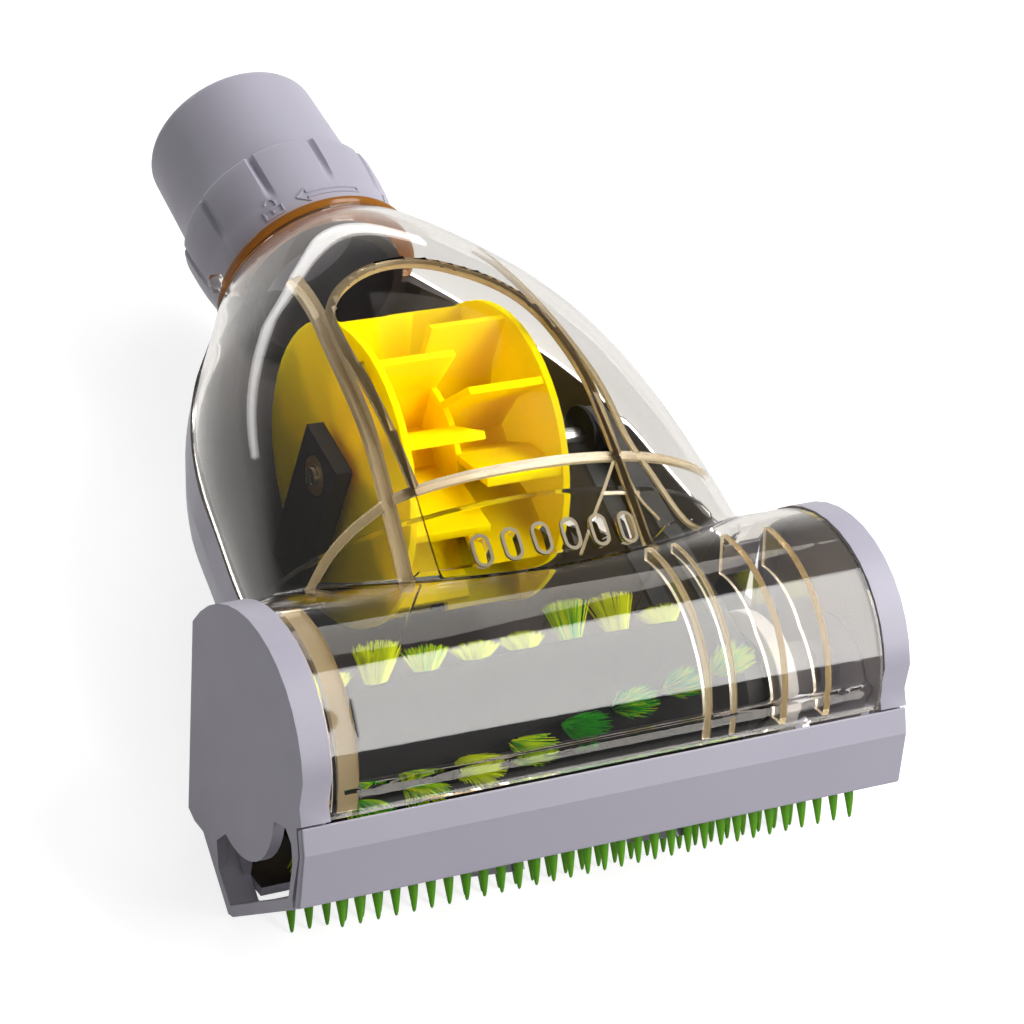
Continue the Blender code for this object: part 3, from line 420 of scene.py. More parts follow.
def coverColumn(angle):
    # One line of the cover from the front lip over the roller to the neck
    size = coverSizes
    low, high = size["meetBetween"]
    for halving in range(40):
        middle = (low + high) / 2
        point = domePoint(angle, middle)
        if aboutArc(point.y, point.z)[1] < size["radius"]:
            low = middle
        else:
            high = middle
    corner = domePoint(angle, low)
    # The fillet between the two fades out toward the sides
    fadeOver, fadePower = size["filletFade"]
    fade = min(1.0, sin(angle) / fadeOver) ** fadePower if sin(angle) > 1e-6 else 0.0
    bend = size["fillet"] * fade
    lip = arcAngle(size["lip"])
    stop = aboutArc(corner.y, corner.z)[0] + bend / size["radius"]
    points = [arcPoint(corner.x, size["radius"], lip + (stop - lip) * i / size["alongArc"])
              for i in range(size["alongArc"] + 1)]
    start, leave = points[-1], domePoint(angle, low + bend)
    for i in range(1, size["alongBend"] + 1):
        t = i / size["alongBend"]
        points.append(start * (1 - t) ** 2 + corner * 2 * t * (1 - t) + leave * t ** 2)
    first, neckEnd = low + bend, size["stations"][0][0]
    for i in range(1, size["alongDome"] + 1):
        points.append(domePoint(angle, first + (neckEnd - first) * i / size["alongDome"]))
    rim = points[-1]
    for reach in size["rimRows"]:
        r = size["neckBore"] + (sqrt(rim.x ** 2 + rim.z ** 2) - size["neckBore"]) * reach
        points.append(Vector((r * cos(angle), neckEnd, r * sin(angle) + size["seam"])))
    return points


def archEdge(x):
    # How far back the arch rib reaches at x, which bounds the window over the wheel
    legs = ribSizes["archLegs"]
    path = [p for p in ribSizes["paths"]["arch"] if p[1] > legs]
    for (x0, y0), (x1, y1) in zip(path, path[1:]):
        if min(x0, x1) <= x <= max(x0, x1):
            return y0 + (y1 - y0) * (x - x0) / (x1 - x0)
    return legs


def buildCover():
    size = coverSizes
    bm = bmesh.new()
    columns = [coverColumn(pi * j / size["across"]) for j in range(size["across"] + 1)]
    rows = len(columns[0]) - 1
    sheetOver(bm, size["across"], rows, lambda u, v: columns[round(u * size["across"])][round(v * rows)])
    for side, column in ((1, columns[0]), (-1, columns[-1])):
        reach = size["half"] - abs(column[0].x)
        sheetOver(bm, size["alongSides"], size["alongArc"],
                  lambda u, v: column[round(v * size["alongArc"])] + Vector((side * reach * u, 0, 0)))
    bmesh.ops.remove_doubles(bm, verts=bm.verts, dist=size["weld"])
    bmesh.ops.recalc_face_normals(bm, faces=bm.faces)
    top = max(bm.faces, key=lambda f: f.calc_center_median().z)
    if top.normal.z < 0:
        bmesh.ops.reverse_faces(bm, faces=bm.faces)
    left, right = size["window"]
    for face in bm.faces:
        middle = face.calc_center_median()
        overRoller = aboutArc(middle.y, middle.z)[1] < size["radius"] + size["near"]
        window = left < middle.x < right and middle.y < archEdge(middle.x)
        look = "rollerClear" if overRoller else "coverClear" if window else "domeClear"
        face.material_index = coverSlots.index(look)
    cover = meshObject("clearCover", bm, coverSlots[0])
    for look in coverSlots[1:]:
        cover.data.materials.append(looks[look])
    # A low welt runs along inside, a little above the lip: there the wall is thicker
    group = cover.vertex_groups.new(name="thick")
    welt = size["welt"]
    weltAngle = arcAngle(welt["height"])
    full = size["wall"] + welt["deep"]
    for v in cover.data.vertices:
        q = v.co / mm - bodyShift
        angle, distance = aboutArc(q.y, q.z)
        away = abs((angle - weltAngle + pi) % (2 * pi) - pi) * size["radius"]
        onArc = distance < size["radius"] + size["near"] and abs(q.x) < size["half"] - welt["endGap"]
        swell = 0.5 + 0.5 * cos(pi * min(1.0, away / welt["wide"])) if onArc else 0.0
        group.add([v.index], (size["wall"] + welt["deep"] * swell) / full, "REPLACE")
    wall = cover.modifiers.new("wall", "SOLIDIFY")
    wall.thickness = full * mm
    wall.vertex_group = "thick"
    wall.offset = -1
    wall.use_even_offset = True
    return applied(cover)


def softPath(points, step):
    # Even points along a smooth curve through the given ones
    line = [Vector(p) for p in points]
    line = [line[0] * 2 - line[1]] + line + [line[-1] * 2 - line[-2]]
    out = []
    for i in range(1, len(line) - 2):
        a, b, c, d = line[i - 1:i + 3]
        count = max(1, round((c - b).length / step))
        for k in range(count):
            t = k / count
            out.append(0.5 * (b * 2 + (c - a) * t + (a * 2 - b * 5 + c * 4 - d) * t ** 2
                              + (b * 3 - a - c * 3 + d) * t ** 3))
    out.append(line[-2])
    return out


def ribbed(piece, clearSides=False):
    # Faces of ribs and plates keep the cloudier plastic when they join the cover
    for look in coverSlots[1:]:
        piece.data.materials.append(looks[look])
    for face in piece.data.polygons:
        look = "rollerClear" if clearSides and abs(face.normal.x) > 0.7 else "ribClear"
        face.material_index = coverSlots.index(look)
    return piece


def ribWall(name):
    size = ribSizes
    thick, depth = size["other"].get(name, (size["thick"], size["depth"]))
    path = softPath(size["paths"][name], size["step"])
    bm = bmesh.new()

    def place(u, v):
        p = path[round(u * (len(path) - 1))]
        return Vector((p.x, p.y, coverTop(p.x, p.y) - size["sink"] - depth * v))

    sheetOver(bm, len(path) - 1, 3, place)
    bmesh.ops.recalc_face_normals(bm, faces=bm.faces)
    return ribbed(thickened(meshObject("rib_" + name, bm, coverSlots[0]), thick))


def crossPlate(x, thick, deep):
    # Plate across the roller cover, from the seam to just above the lip, slimmer toward the lip:
    # further down it would touch the roller when the cover opens
    size = plateSizes
    outer = coverSizes["radius"] - size["sink"]
    low, high = [radians(angle) for angle in size["between"]]
    bm = bmesh.new()

    def place(u, v):
        front = max(0.0, (u - size["slimFrom"]) / (1 - size["slimFrom"]))
        return arcPoint(x, outer - deep * (1 - size["slim"] * front) * v, low + (high - low) * u)

    sheetOver(bm, size["rows"], 2, place)
    bmesh.ops.recalc_face_normals(bm, faces=bm.faces)
    return ribbed(thickened(meshObject("plate", bm, coverSlots[0]), thick), x > 0)


def stadium(bm, half, grow, depth, sides):
    # An upright round-ended plug, half wide and half long, grown by a margin
    made = bmesh.ops.create_cone(bm, cap_ends=True, segments=sides, radius1=1.0, radius2=1.0, depth=depth)["verts"]
    straight = half[1] - half[0]
    for v in made:
        side = 1 if v.co.y > 1e-6 else -1 if v.co.y < -1e-6 else 0
        v.co.x *= half[0] + grow
        v.co.y = v.co.y * (half[0] + grow) + side * straight
    return made


def ventPlugs(name, grow, depth, lift):
    # One plug for each vent, square to the cover's face
    size = ventSizes
    y, reach = size["along"], 2   # the face's slopes are read this far to each side
    bm = bmesh.new()
    slope = atan2(coverTop(0, y + reach) - coverTop(0, y - reach), 2 * reach)
    for i in range(size["count"]):
        x = size["first"] + size["pitch"] * i
        lean = atan2(coverTop(x - reach, y) - coverTop(x + reach, y), 2 * reach)
        tilt = Matrix.Rotation(slope, 4, "X") @ Matrix.Rotation(lean, 4, "Y")
        base = Vector((x, y, coverTop(x, y) + lift))
        for v in stadium(bm, size["half"], grow, depth, size["sides"]):
            v.co = base + tilt @ v.co
    return meshObject(name, bm, coverSlots[0])


def buildLatch():
    # The latch tab beside the neck
    size = latchSizes
    bm = bmesh.new()
    for v in bmesh.ops.create_cube(bm, size=1.0)["verts"]:
        v.co = Vector([centre + co * wide for centre, co, wide in zip(size["centre"], v.co, size["size"])])
    bmesh.ops.bevel(bm, geom=bm.edges[:], offset=size["edge"], offset_type="OFFSET", segments=2, profile=0.5,
                    affect="EDGES", material=-1)
    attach(meshObject("latchTab", bm, "coverClear", 40), "cover")


def finishCover(cover):
    ribs = [ribWall(name) for name in ribSizes["paths"]]
    plates = [crossPlate(*plate) for plate in plateSizes["plates"]]
    joined(cover, ribs + plates + [ribbed(ventPlugs("ventRims", **ventSizes["rim"]))])
    joined(cover, [ventPlugs("ventHoles", **ventSizes["hole"])], "DIFFERENCE")
    bm = bmesh.new()
    bm.from_mesh(cover.data)
    crumb = 0.004 * mm
    bmesh.ops.remove_doubles(bm, verts=bm.verts, dist=crumb)
    bmesh.ops.dissolve_degenerate(bm, edges=bm.edges, dist=crumb)
    bm.to_mesh(cover.data)
    bm.free()
    cover.data.shade_smooth()
    cover.data.set_sharp_from_angle(angle=radians(28))


clearCover = buildCover()
buildLatch()
finishCover(clearCover)
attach(clearCover, "cover")
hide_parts("clear_cover")
print("cover made,", len(clearCover.data.polygons), "faces")


# Neck: collar with grips between its grooves, and tube, turned about the neck's own axis
neckSizes = {
    "profile": [(19.3, 1.1), (22.7, 1.1), (23.05, 1.25), (23.2, 1.6), (23.2, 7.0), (23.3, 8.4), (23.55, 10.2),
                (23.8, 12.4), (23.95, 15.2), (24.0, 18.0), (24.0, 20.4), (23.85, 21.0), (23.3, 21.6), (22.4, 22.0),
                (21.8, 22.5), (21.6, 23.6), (21.35, 31.0), (21.1, 39.0), (20.88, 47.6), (20.8, 48.6), (20.5, 49.2),
                (20.1, 49.4), (18.0, 49.4), (17.6, 49.2), (17.5, 48.8), (17.5, 30.0), (17.5, 14.5), (19.3, 14.5),
                (19.3, 13.2), (19.9, 12.2), (19.9, 11.2), (19.3, 10.2)],
    "turns": 320,
    "grooves": {"count": 10, "phase": 86.0, "wide": 4.6, "floor": 22.75, "between": (7.0, 22.4), "runIn": 3.0,
                "flank": 0.6}}
markSizes = {   # generic signs on the collar, as outlines of (angle in degrees, distance along)
    "radius": 23.2, "wide": 0.55, "high": 0.35, "around": 6, "step": (1.5, 0.6), "weld": 0.001,
    "outlines": {
        "arrow": [(110.5, 4.0), (104.2, 6.0), (104.2, 4.7), (73.0, 4.7), (73.0, 3.3), (104.2, 3.3), (104.2, 2.0),
                  (110.5, 4.0)],
        "body": [(120.0, 2.2), (131.0, 2.2), (131.0, 4.6), (120.0, 4.6), (120.0, 2.2)],
        "shackle": [(122.4, 4.6), (122.4, 6.2), (124.0, 7.2), (127.0, 7.2), (128.6, 6.4)],
        "keyhole": [(125.6, 3.0), (125.6, 3.9)],
        "tick": [(52.0, 2.4), (47.0, 6.6)]}}
sealSizes = {"profile": [(19.3, -1.5), (22.6, -1.5), (23.5, -1.35), (24.2, -0.9), (24.5, -0.3), (24.4, 0.25),
                         (23.9, 0.65), (23.0, 0.8), (19.3, 0.8)], "turns": 160}


def buildNeck():
    size = neckSizes["grooves"]
    bm = turned(neckSizes["profile"], neckSizes["turns"])
    start, end = size["between"]
    pitch = 360 / size["count"]
    for v in bm.verts:
        r = sqrt(v.co.x ** 2 + v.co.z ** 2)
        if r > size["floor"] and start < v.co.y < end:
            a = atan2(v.co.z, v.co.x) * 180 / pi - size["phase"]
            off = abs((a + pitch / 2) % pitch - pitch / 2)
            groove = max(0.0, 1 - (off / (size["wide"] / 2)) ** 2) ** size["flank"]
            shrink = 1 - (r - size["floor"]) * groove * min(1.0, (v.co.y - start) / size["runIn"]) / r
            v.co.x *= shrink
            v.co.z *= shrink
    bmesh.ops.recalc_face_normals(bm, faces=bm.faces)
    neck = meshObject("neckTube", bm, "lavenderGrey", 38)
    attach(neck, "neck")
    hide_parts("neck_tube")


def raisedLine(bm, points):
    # A low welt along an outline on the collar
    size = markSizes
    path = []
    for (a0, y0), (a1, y1) in zip(points, points[1:]):
        count = max(2, round(abs(a1 - a0) / size["step"][0] + abs(y1 - y0) / size["step"][1]))
        path += [(a0 + (a1 - a0) * k / count, y0 + (y1 - y0) * k / count) for k in range(count)]
    path.append(points[-1])

    def place(u, v):
        i = round(u * (len(path) - 1))
        a, y = path[i]
        before, after = path[max(i - 1, 0)], path[min(i + 1, len(path) - 1)]
        run = Vector((radians(after[0] - before[0]) * size["radius"], after[1] - before[1]))
        run.normalize()
        sideways, up = size["wide"] / 2 * cos(2 * pi * v), size["high"] * sin(2 * pi * v)
        angle = radians(a) + run.y * sideways / size["radius"]
        r = size["radius"] + up
        return Vector((r * cos(angle), y - run.x * sideways, r * sin(angle)))

    sheetOver(bm, len(path) - 1, size["around"], place)


def buildMarks():
    bm = bmesh.new()
    for points in markSizes["outlines"].values():
        raisedLine(bm, points)
    bmesh.ops.remove_doubles(bm, verts=bm.verts, dist=markSizes["weld"])
    bmesh.ops.holes_fill(bm, edges=bm.edges, sides=8)
    bmesh.ops.recalc_face_normals(bm, faces=bm.faces)
    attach(meshObject("collarMarks", bm, "lavenderGrey", 60), "neck")


def buildSeal():
    bm = turned(sealSizes["profile"], sealSizes["turns"])
    bmesh.ops.recalc_face_normals(bm, faces=bm.faces)
    seal = meshObject("amberSeal", bm, "sealAmber", 40)
    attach(seal, "housing")
    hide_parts("neck_seal_ring")


buildNeck()
buildMarks()
buildSeal()
print("neck made")


cadClean = {"weld": 0.002, "flat": 0.8}   # vertices nearer than this many mm merge, faces within these degrees too


# Mouldings that keep their solid's shape get rounded edges
def rounded(name, node, width, look, body, angle=35, segments=3):
    bm = bmesh.new()
    bm.from_mesh(nodes[node].data)
    bmesh.ops.remove_doubles(bm, verts=bm.verts, dist=cadClean["weld"] * mm)
    bmesh.ops.dissolve_limit(bm, angle_limit=radians(cadClean["flat"]), verts=bm.verts, edges=bm.edges)
    mesh = bpy.data.meshes.new(name)
    bm.to_mesh(mesh)
    bm.free()
    mesh.materials.append(looks[look])
    mesh.shade_smooth()
    mesh.set_sharp_from_angle(angle=radians(angle))
    piece = placed(name, mesh)
    bevelled(piece, width, angle, segments)
    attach(piece, body)
    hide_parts(node)
    return piece


wheelSizes = {"axle": (0, -57.3, -3.2), "turn": 5, "edge": 0.35}   # the photo's wheel stands a little further on

rounded("leftCap", "left_end_cap", 0.45, "lavenderGrey", "housing")
rounded("rightCap", "right_end_cap", 0.45, "lavenderGrey", "housing")
rounded("frontBumper", "front_bumper", 0.6, "lavenderGrey", "housing")
wheel = rounded("turbineWheel", "turbine_wheel", wheelSizes["edge"], "turbineYellow", "turbine", 40)
wheelAxle = bodyPoint(*wheelSizes["axle"])
wheel.data.transform(Matrix.Translation(wheelAxle) @ Matrix.Rotation(radians(wheelSizes["turn"]), 4, "X")
                     @ Matrix.Translation(-wheelAxle))
rounded("rollerPulley", "roller_pulley", 0.25, "rollerDark", "roller", 50, 2)
rounded("turbinePulley", "turbine_pulley", 0.25, "rollerDark", "turbine", 50, 2)
rounded("endCollar", "roller_end_collar", 0.4, "bearingPale", "roller", 50, 2)
rounded("airGuide", "air_guide", 0.3, "guideClear", "housing", 50, 2)
print("mouldings rounded")


# Roller: brush tufts of many bristles standing in the grooves of the core
rollerSizes = {
    "axis": (17.8, 27.2), "core": 16.0, "tip": 25.3, "left": -60.0, "right": 40.5, "turns": 160, "edge": 0.5,
    "strips": 4, "start": 184.0, "twist": -0.5, "stripDeep": 2.4, "stripProud": 0.2, "stripHalf": 1.8,
    "stripRows": 60, "tufts": 8, "margin": 6.0, "bristles": 210, "thick": 0.14, "tipShare": 0.45, "buried": 0.6,
    "fan": (5.6, 3.4), "root": (2.2, 1.3), "lean": 0.6, "stray": (0.5, 0.4), "uneven": 0.9, "crown": 1.2,
    "mainShare": 0.7}
lime, green = 1, 2   # the tufts' material slots; slot 0 is their dark strip


def stripAngle(index, x):
    size = rollerSizes
    return radians(size["start"] + 360 / size["strips"] * index + size["twist"] * x)


def bristle(bm, root, tip, slot):
    thick = rollerSizes["thick"]
    made = bmesh.ops.create_cone(bm, cap_ends=True, segments=3, radius1=thick,
                                 radius2=thick * rollerSizes["tipShare"], depth=1.0)
    along = tip - root
    turnTo = along.to_track_quat("Z", "Y").to_matrix()
    middle = (root + tip) / 2
    faces = set()
    for v in made["verts"]:
        v.co = turnTo @ Vector((v.co.x, v.co.y, v.co.z * along.length)) + middle
        faces.update(v.link_faces)
    for face in faces:
        face.material_index = slot


def buildTufts(name, node, index, colours, worn=(1.0,)):
    # colours gives each tuft its main and its second slot, worn its share of the full height
    size = rollerSizes
    rng = random.Random(100 + index)
    bm = bmesh.new()
    floor, face, half = size["core"] - size["stripDeep"], size["core"] + size["stripProud"], size["stripHalf"]
    corners = ((floor, -half), (face, -half), (face, half), (floor, half))

    def bar(u, v):
        x = size["left"] + (size["right"] - size["left"]) * v
        a = stripAngle(index, x)
        r, t = corners[round(u * 4) % 4]
        y = size["axis"][0] + r * cos(a) - t * sin(a)
        z = size["axis"][1] + r * sin(a) + t * cos(a)
        return Vector((x, *headToBody(y, z)))

    sheetOver(bm, 4, size["stripRows"], bar)
    bmesh.ops.remove_doubles(bm, verts=bm.verts, dist=0.001)
    bmesh.ops.holes_fill(bm, edges=bm.edges, sides=4)
    bmesh.ops.recalc_face_normals(bm, faces=bm.faces)
    span = size["right"] - size["left"] - 2 * size["margin"]
    centre = Vector((0, *headToBody(*size["axis"])))
    for k in range(size["tufts"]):
        x = size["left"] + size["margin"] + span * k / (size["tufts"] - 1)
        angle = stripAngle(index, x)
        outward = headTurn(cos(angle), sin(angle))
        across = headTurn(-sin(angle), cos(angle))
        lean = rng.uniform(-size["lean"], size["lean"])
        main, second = colours[k % len(colours)]
        height = (size["tip"] - size["core"]) * worn[k % len(worn)]
        for b in range(size["bristles"]):
            around, out = rng.uniform(0, 2 * pi), sqrt(rng.random())
            dx, dt = out * cos(around), out * sin(around)
            root = (centre + Vector((x + dx * size["root"][0], 0, 0)) + across * dt * size["root"][1]
                    + outward * (size["core"] - size["buried"]))
            length = height + rng.uniform(-size["uneven"], 0.0) - size["crown"] * out * out
            strayX = rng.uniform(-size["stray"][0], size["stray"][0])
            strayT = rng.uniform(-size["stray"][1], size["stray"][1])
            tip = (centre + Vector((x + dx * size["fan"][0] + strayX, 0, 0))
                   + across * (dt * size["fan"][1] + strayT + lean)
                   + outward * (size["core"] + length))
            bristle(bm, root, tip, main if rng.random() < size["mainShare"] else second)
    piece = meshObject(name, bm, "rollerDark", 40)
    piece.data.materials.append(looks["bristleLime"])
    piece.data.materials.append(looks["bristleGreen"])
    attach(piece, "roller")
    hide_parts(node)


def buildCore():
    size = rollerSizes
    bm = bmesh.new()
    cy, cz = headToBody(*size["axis"])
    bmesh.ops.create_cone(bm, cap_ends=True, segments=size["turns"], radius1=size["core"], radius2=size["core"],
                          depth=size["right"] - size["left"])
    caps = [f for f in bm.faces if abs(f.normal.z) > 0.9]
    bmesh.ops.bevel(bm, geom=[e for f in caps for e in f.edges], offset=size["edge"], offset_type="OFFSET",
                    segments=3, profile=0.5, affect="EDGES", material=-1)
    for v in bm.verts:
        v.co = Vector(((size["left"] + size["right"]) / 2 + v.co.z, cy + v.co.x, cz + v.co.y))
    core = meshObject("coreBody", bm, "rollerDark", 40)
    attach(core, "roller")
    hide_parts("roller_core")


buildCore()
buildTufts("frontTufts", "green_tuft_strip", 0,
           [(green, lime), (lime, green), (lime, lime), (lime, green), (green, green), (green, lime), (green, lime),
            (lime, green)])
buildTufts("lowTufts", "lime_tuft_strip_back", 1, [(lime, lime), (lime, green)])
buildTufts("backTufts", "green_tuft_strip_back", 2, [(green, green), (green, lime)])
buildTufts("topTufts", "lime_tuft_strip_front", 3, [(lime, lime), (lime, lime), (lime, green)],
           (0.6, 1.0, 0.6, 0.45, 0.45, 1.0, 1.0, 0.55))
print("tufts made")


# Lower housing: the CAD bowl with its long facets eased into one curve, with painted shade inside: a darker grey over
# the inside, near black on its posts, the wall round the roller and the way out to the neck
bowlSizes = {
    "stations": [(-1.8, 23.8, 23.8), (-16.0, 33.9, 27.0), (-28.0, 42.4, 33.5), (-42.0, 49.3, 39.6),
                 (-58.0, 54.2, 41.0), (-74.0, 56.6, 40.6), (-88.0, 58.6, 38.4), (-100.0, 59.6, 35.6),
                 (-112.0, 60.0, 32.6)],
    "fullness": 2.6, "roundFor": 4, "between": (-112, -1.8), "firstCut": -4.5, "every": 3.0,
    "skin": (3.2, 0.3),                                     # moves with the wall: depth inside and outside it
    # which faces inside the bowl are painted dark as shade, and which of them darker still
    "insideGap": 0.9, "insideEnd": -2.5,
    "postHalf": 26.5, "posts": (-67, -47), "level": 0.98,   # the turbine's bearing posts, but not their level faces
    "chamber": 27.6, "chamberFacing": 0.2,                  # the wall round the roller
    "mouth": 23.5, "mouthEnd": -18,                         # the way out to the neck
    "edge": 0.35}


def bowlReach(angle, y, smooth):
    half, tall, power = section(bowlSizes, y, smooth)
    c, s = abs(cos(angle)), abs(sin(angle))
    return 1 / ((c / half) ** power + (s / tall) ** power) ** (1 / power)


def belowSeam(co):
    # Angle and distance from the neck's axis, with what stands above the seam taken down to it
    low = min(co.z, 0.0)
    return atan2(low, co.x), sqrt(co.x ** 2 + low ** 2)


def buildBowl():
    size = bowlSizes
    front, back = size["between"]
    bm = bmesh.new()
    bm.from_mesh(nodes["lower_housing"].data)
    for v in bm.verts:
        v.co = v.co / mm - bodyShift
    bmesh.ops.remove_doubles(bm, verts=bm.verts, dist=cadClean["weld"])
    bmesh.ops.dissolve_limit(bm, angle_limit=radians(cadClean["flat"]), verts=bm.verts, edges=bm.edges)
    y = size["firstCut"]
    while y > front:
        bmesh.ops.bisect_plane(bm, geom=bm.verts[:] + bm.edges[:] + bm.faces[:], dist=0.0005,
                               plane_co=(0, y, 0), plane_no=(0, 1, 0))
        y -= size["every"]
    inner, outer = size["skin"]
    for v in bm.verts:
        if front < v.co.y < back:
            angle, r = belowSeam(v.co)
            coarse = bowlReach(angle, v.co.y, False)
            if coarse - inner < r < coarse + outer:
                grow = (r + bowlReach(angle, v.co.y, True) - coarse) / r
                v.co.x *= grow
                v.co.z = v.co.z * grow if v.co.z < 0 else v.co.z
    cy, cz = headToBody(*rollerSizes["axis"])
    for face in bm.faces:
        c = face.calc_center_median()
        angle, r = belowSeam(c)
        inside = front < c.y < size["insideEnd"] and r < bowlReach(angle, c.y, True) - size["insideGap"]
        toAxis = Vector((0, cy - c.y, cz - c.z))
        chamber = toAxis.length < size["chamber"] and toAxis.dot(face.normal) > size["chamberFacing"]
        post = (inside and abs(c.x) < size["postHalf"] and size["posts"][0] < c.y < size["posts"][1]
                and abs(face.normal.z) < size["level"])
        mouth = sqrt(c.x ** 2 + c.z ** 2) < size["mouth"] and c.y > size["mouthEnd"]
        # Painted shade: faces inside the bowl take a darker grey, and the posts' upright faces, the wall round the
        # roller and the way out to the neck a near black
        face.material_index = 2 if post or mouth or chamber else 1 if inside else 0
    bowl = meshObject("bowl", bm, "lavenderGrey", 30)
    bowl.data.materials.append(looks["hollowPaintedShade"])
    bowl.data.materials.append(looks["deepPaintedShade"])
    bevelled(bowl, size["edge"], 40, 2)
    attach(bowl, "housing")
    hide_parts("lower_housing")


buildBowl()
print("bowl made")


# Rubber combs: a base strip with raked, round-tipped prongs
combSizes = {"pitch": 4.1, "count": 31, "base": 1.6, "high": 0.9, "endGap": 1.6, "buried": 0.6, "drop": 5.6,
             "rake": 1.8, "rakeCurve": 1.3, "radius": 1.25, "taper": 0.72, "taperCurve": 1.2, "flat": 0.6,
             "swell": 2.2, "sides": 10, "rings": 8}


def buildComb(name, node, centre):
    size = combSizes
    bm = bmesh.new()
    long = size["pitch"] * (size["count"] - 1) + 2 * size["endGap"]
    for v in bmesh.ops.create_cube(bm, size=1.0)["verts"]:
        v.co = Vector((v.co.x * long, centre + v.co.y * size["base"], (0.5 + v.co.z) * size["high"]))
    for i in range(size["count"]):
        x = (i - (size["count"] - 1) / 2) * size["pitch"]
        prong = bmesh.ops.create_uvsphere(bm, u_segments=size["sides"], v_segments=size["rings"], radius=1.0)
        for v in prong["verts"]:
            t = (1 - v.co.z) / 2   # 0 at the root, 1 at the tip
            r = size["radius"] * (1 - size["taper"] * t ** size["taperCurve"])
            reach = sqrt(max(0.0, 1 - v.co.z ** 2)) or 1.0
            spread = min(1.0, reach * size["swell"]) / reach if reach > 1e-4 else 0.0
            v.co = Vector((x + v.co.x * spread * r,
                           centre + size["rake"] * t ** size["rakeCurve"] + v.co.y * spread * r * size["flat"],
                           size["buried"] - (size["drop"] + size["buried"]) * t))
    for v in bm.verts:
        v.co = Vector((v.co.x, *headToBody(v.co.y, v.co.z)))
    piece = meshObject(name, bm, "combRubber", 50)
    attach(piece, "housing")
    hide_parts(node)


buildComb("frontComb", "front_comb", 3.4)
buildComb("rearComb", "rear_comb", 28.4)
print("combs made")


# Room: a pale floor and a white surround. The camera sees both as white, the brush is lit by their
# dim light and the lamps, and gloss and glass see white only low down and behind the brush
room = {"floor": 6.0, "floorTone": 0.42, "floorRough": 0.7, "floorGloss": 0.1, "glow": 0.8, "ambient": 0.19,
        "front": 0.06, "overhead": 0.04, "floorBack": 0.97,
        "floorFade": (-0.32, -0.10), "surroundFade": (-0.55, -0.05), "skyFade": (0.04, 0.36)}


def fadeNode(tree, between, start, end):
    # Goes softly from start to end while its input goes from one bound to the other
    return addNode(tree, "MapRange", {"From Min": between[0], "From Max": between[1], "To Min": start, "To Max": end},
                   interpolation_type="SMOOTHSTEP")


def glossOrGlass(tree, path):
    # 1 for a ray off gloss or through glass
    either = addNode(tree, "Math", operation="ADD", use_clamp=True)
    wire(tree, (path, "Is Glossy Ray", either, 0), (path, "Is Transmission Ray", either, 1))
    return either


def buildFloor():
    bm = bmesh.new()
    bmesh.ops.create_grid(bm, x_segments=1, y_segments=1, size=room["floor"] / 2)
    mesh = bpy.data.meshes.new("floor")
    bm.to_mesh(mesh)
    bm.free()
    mat, tree, shader = newMaterial("paleFloor")
    tone = room["floorTone"]
    fill(shader, {"Base Color": (tone, tone, tone, 1), "Roughness": room["floorRough"],
                  "Specular IOR Level": room["floorGloss"]})
    # A glow that only the camera sees lifts the lit floor to white; what is in shadow stays darker
    path = addNode(tree, "LightPath")
    share = addNode(tree, "Math", {1: room["glow"]}, operation="MULTIPLY")
    glow = addNode(tree, "Emission")
    whole = addNode(tree, "AddShader")
    wire(tree, (path, "Is Camera Ray", share, 0), (share, 0, glow, "Strength"), (shader, "BSDF", whole, 0),
         (glow, "Emission", whole, 1))
    # Gloss and glass see a floor that is white behind the brush and falls off to dark in front of it
    coords = addNode(tree, "TexCoord")
    split = addNode(tree, "SeparateXYZ")
    depth = fadeNode(tree, room["floorFade"], room["front"], room["floorBack"])
    mirrored = addNode(tree, "Emission")
    choice = addNode(tree, "MixShader")
    wire(tree, (coords, "Object", split, "Vector"), (split, "Y", depth, "Value"),
         (depth, "Result", mirrored, "Strength"), (glossOrGlass(tree, path), 0, choice, "Fac"),
         (whole, "Shader", choice, 1), (mirrored, "Emission", choice, 2),
         (choice, "Shader", tree.nodes["Material Output"], "Surface"))
    mesh.materials.append(mat)
    placed("floor", mesh)


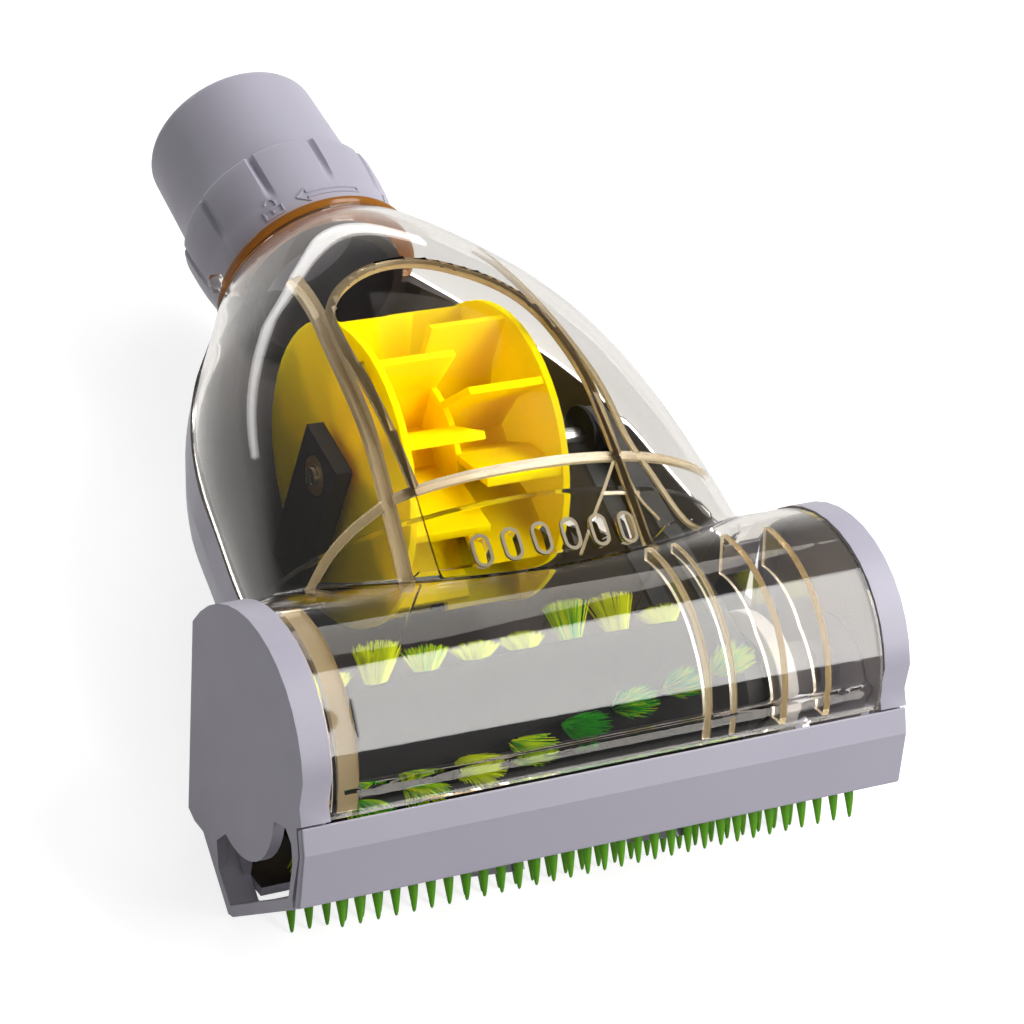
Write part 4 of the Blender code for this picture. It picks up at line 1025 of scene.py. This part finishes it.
def buildSurround():
    world = bpy.data.worlds.new("surround")
    bpy.context.scene.world = world
    world.use_nodes = True
    tree = world.node_tree
    dim = tree.nodes["Background"]
    fill(dim, {"Color": (1, 1, 1, 1), "Strength": room["ambient"]})
    bright = addNode(tree, "Background", {"Strength": 1.0})
    path = addNode(tree, "LightPath")
    direction = addNode(tree, "TexCoord")
    split = addNode(tree, "SeparateXYZ")
    height = fadeNode(tree, room["skyFade"], 1.0, room["overhead"])
    depth = fadeNode(tree, room["surroundFade"], room["front"], 1.0)
    low = addNode(tree, "Math", operation="MULTIPLY")
    gloss = addNode(tree, "Math", operation="MULTIPLY")
    white = addNode(tree, "Math", operation="ADD")
    mix = addNode(tree, "MixShader")
    wire(tree, (direction, "Generated", split, "Vector"), (split, "Z", height, "Value"), (split, "Y", depth, "Value"),
         (height, "Result", low, 0), (depth, "Result", low, 1), (glossOrGlass(tree, path), 0, gloss, 0),
         (low, 0, gloss, 1), (path, "Is Camera Ray", white, 0), (gloss, 0, white, 1), (white, 0, mix, "Fac"),
         (dim, "Background", mix, 1), (bright, "Background", mix, 2),
         (mix, "Shader", tree.nodes["World Output"], "Surface"))


lamps = {
    # hangs across the roller, so that its sheen runs along the whole cover
    "longLamp": {"place": (0.491, -0.451, 0.667), "target": (-0.001, -0.226, -0.174), "size": (0.40, 1.12),
                 "watts": 10.0, "along": (-0.118, 1.004, 0.337)},
    "rearLamp": {"place": (0.30, 0.55, 0.75), "target": (0, 0, 0.04), "size": (0.5, 0.5), "watts": 3,
                 "mirrored": False},
    # a low strip behind, which draws the light line around the dome's shoulder
    "backStrip": {"place": (-0.10, 0.85, 0.20), "target": (0, 0, 0.06), "size": (1.4, 0.09), "watts": 1.6}}


def softLamp(name, place, target, size, watts, along=(0, 0, 1), mirrored=True):
    data = bpy.data.lights.new(name, "AREA")
    data.shape = "RECTANGLE"
    data.size, data.size_y = size
    data.energy = watts
    lamp = placed(name, data)
    back = (Vector(place) - Vector(target)).normalized()
    up = Vector(along)
    up = (up - back * up.dot(back)).normalized()
    lampTurn = Matrix((up.cross(back), up, back)).transposed()
    lamp.matrix_world = Matrix.Translation(place) @ lampTurn.to_4x4()
    lamp.visible_glossy = mirrored


buildFloor()
buildSurround()
for name, values in lamps.items():
    softLamp(name, **values)
print("room lit")
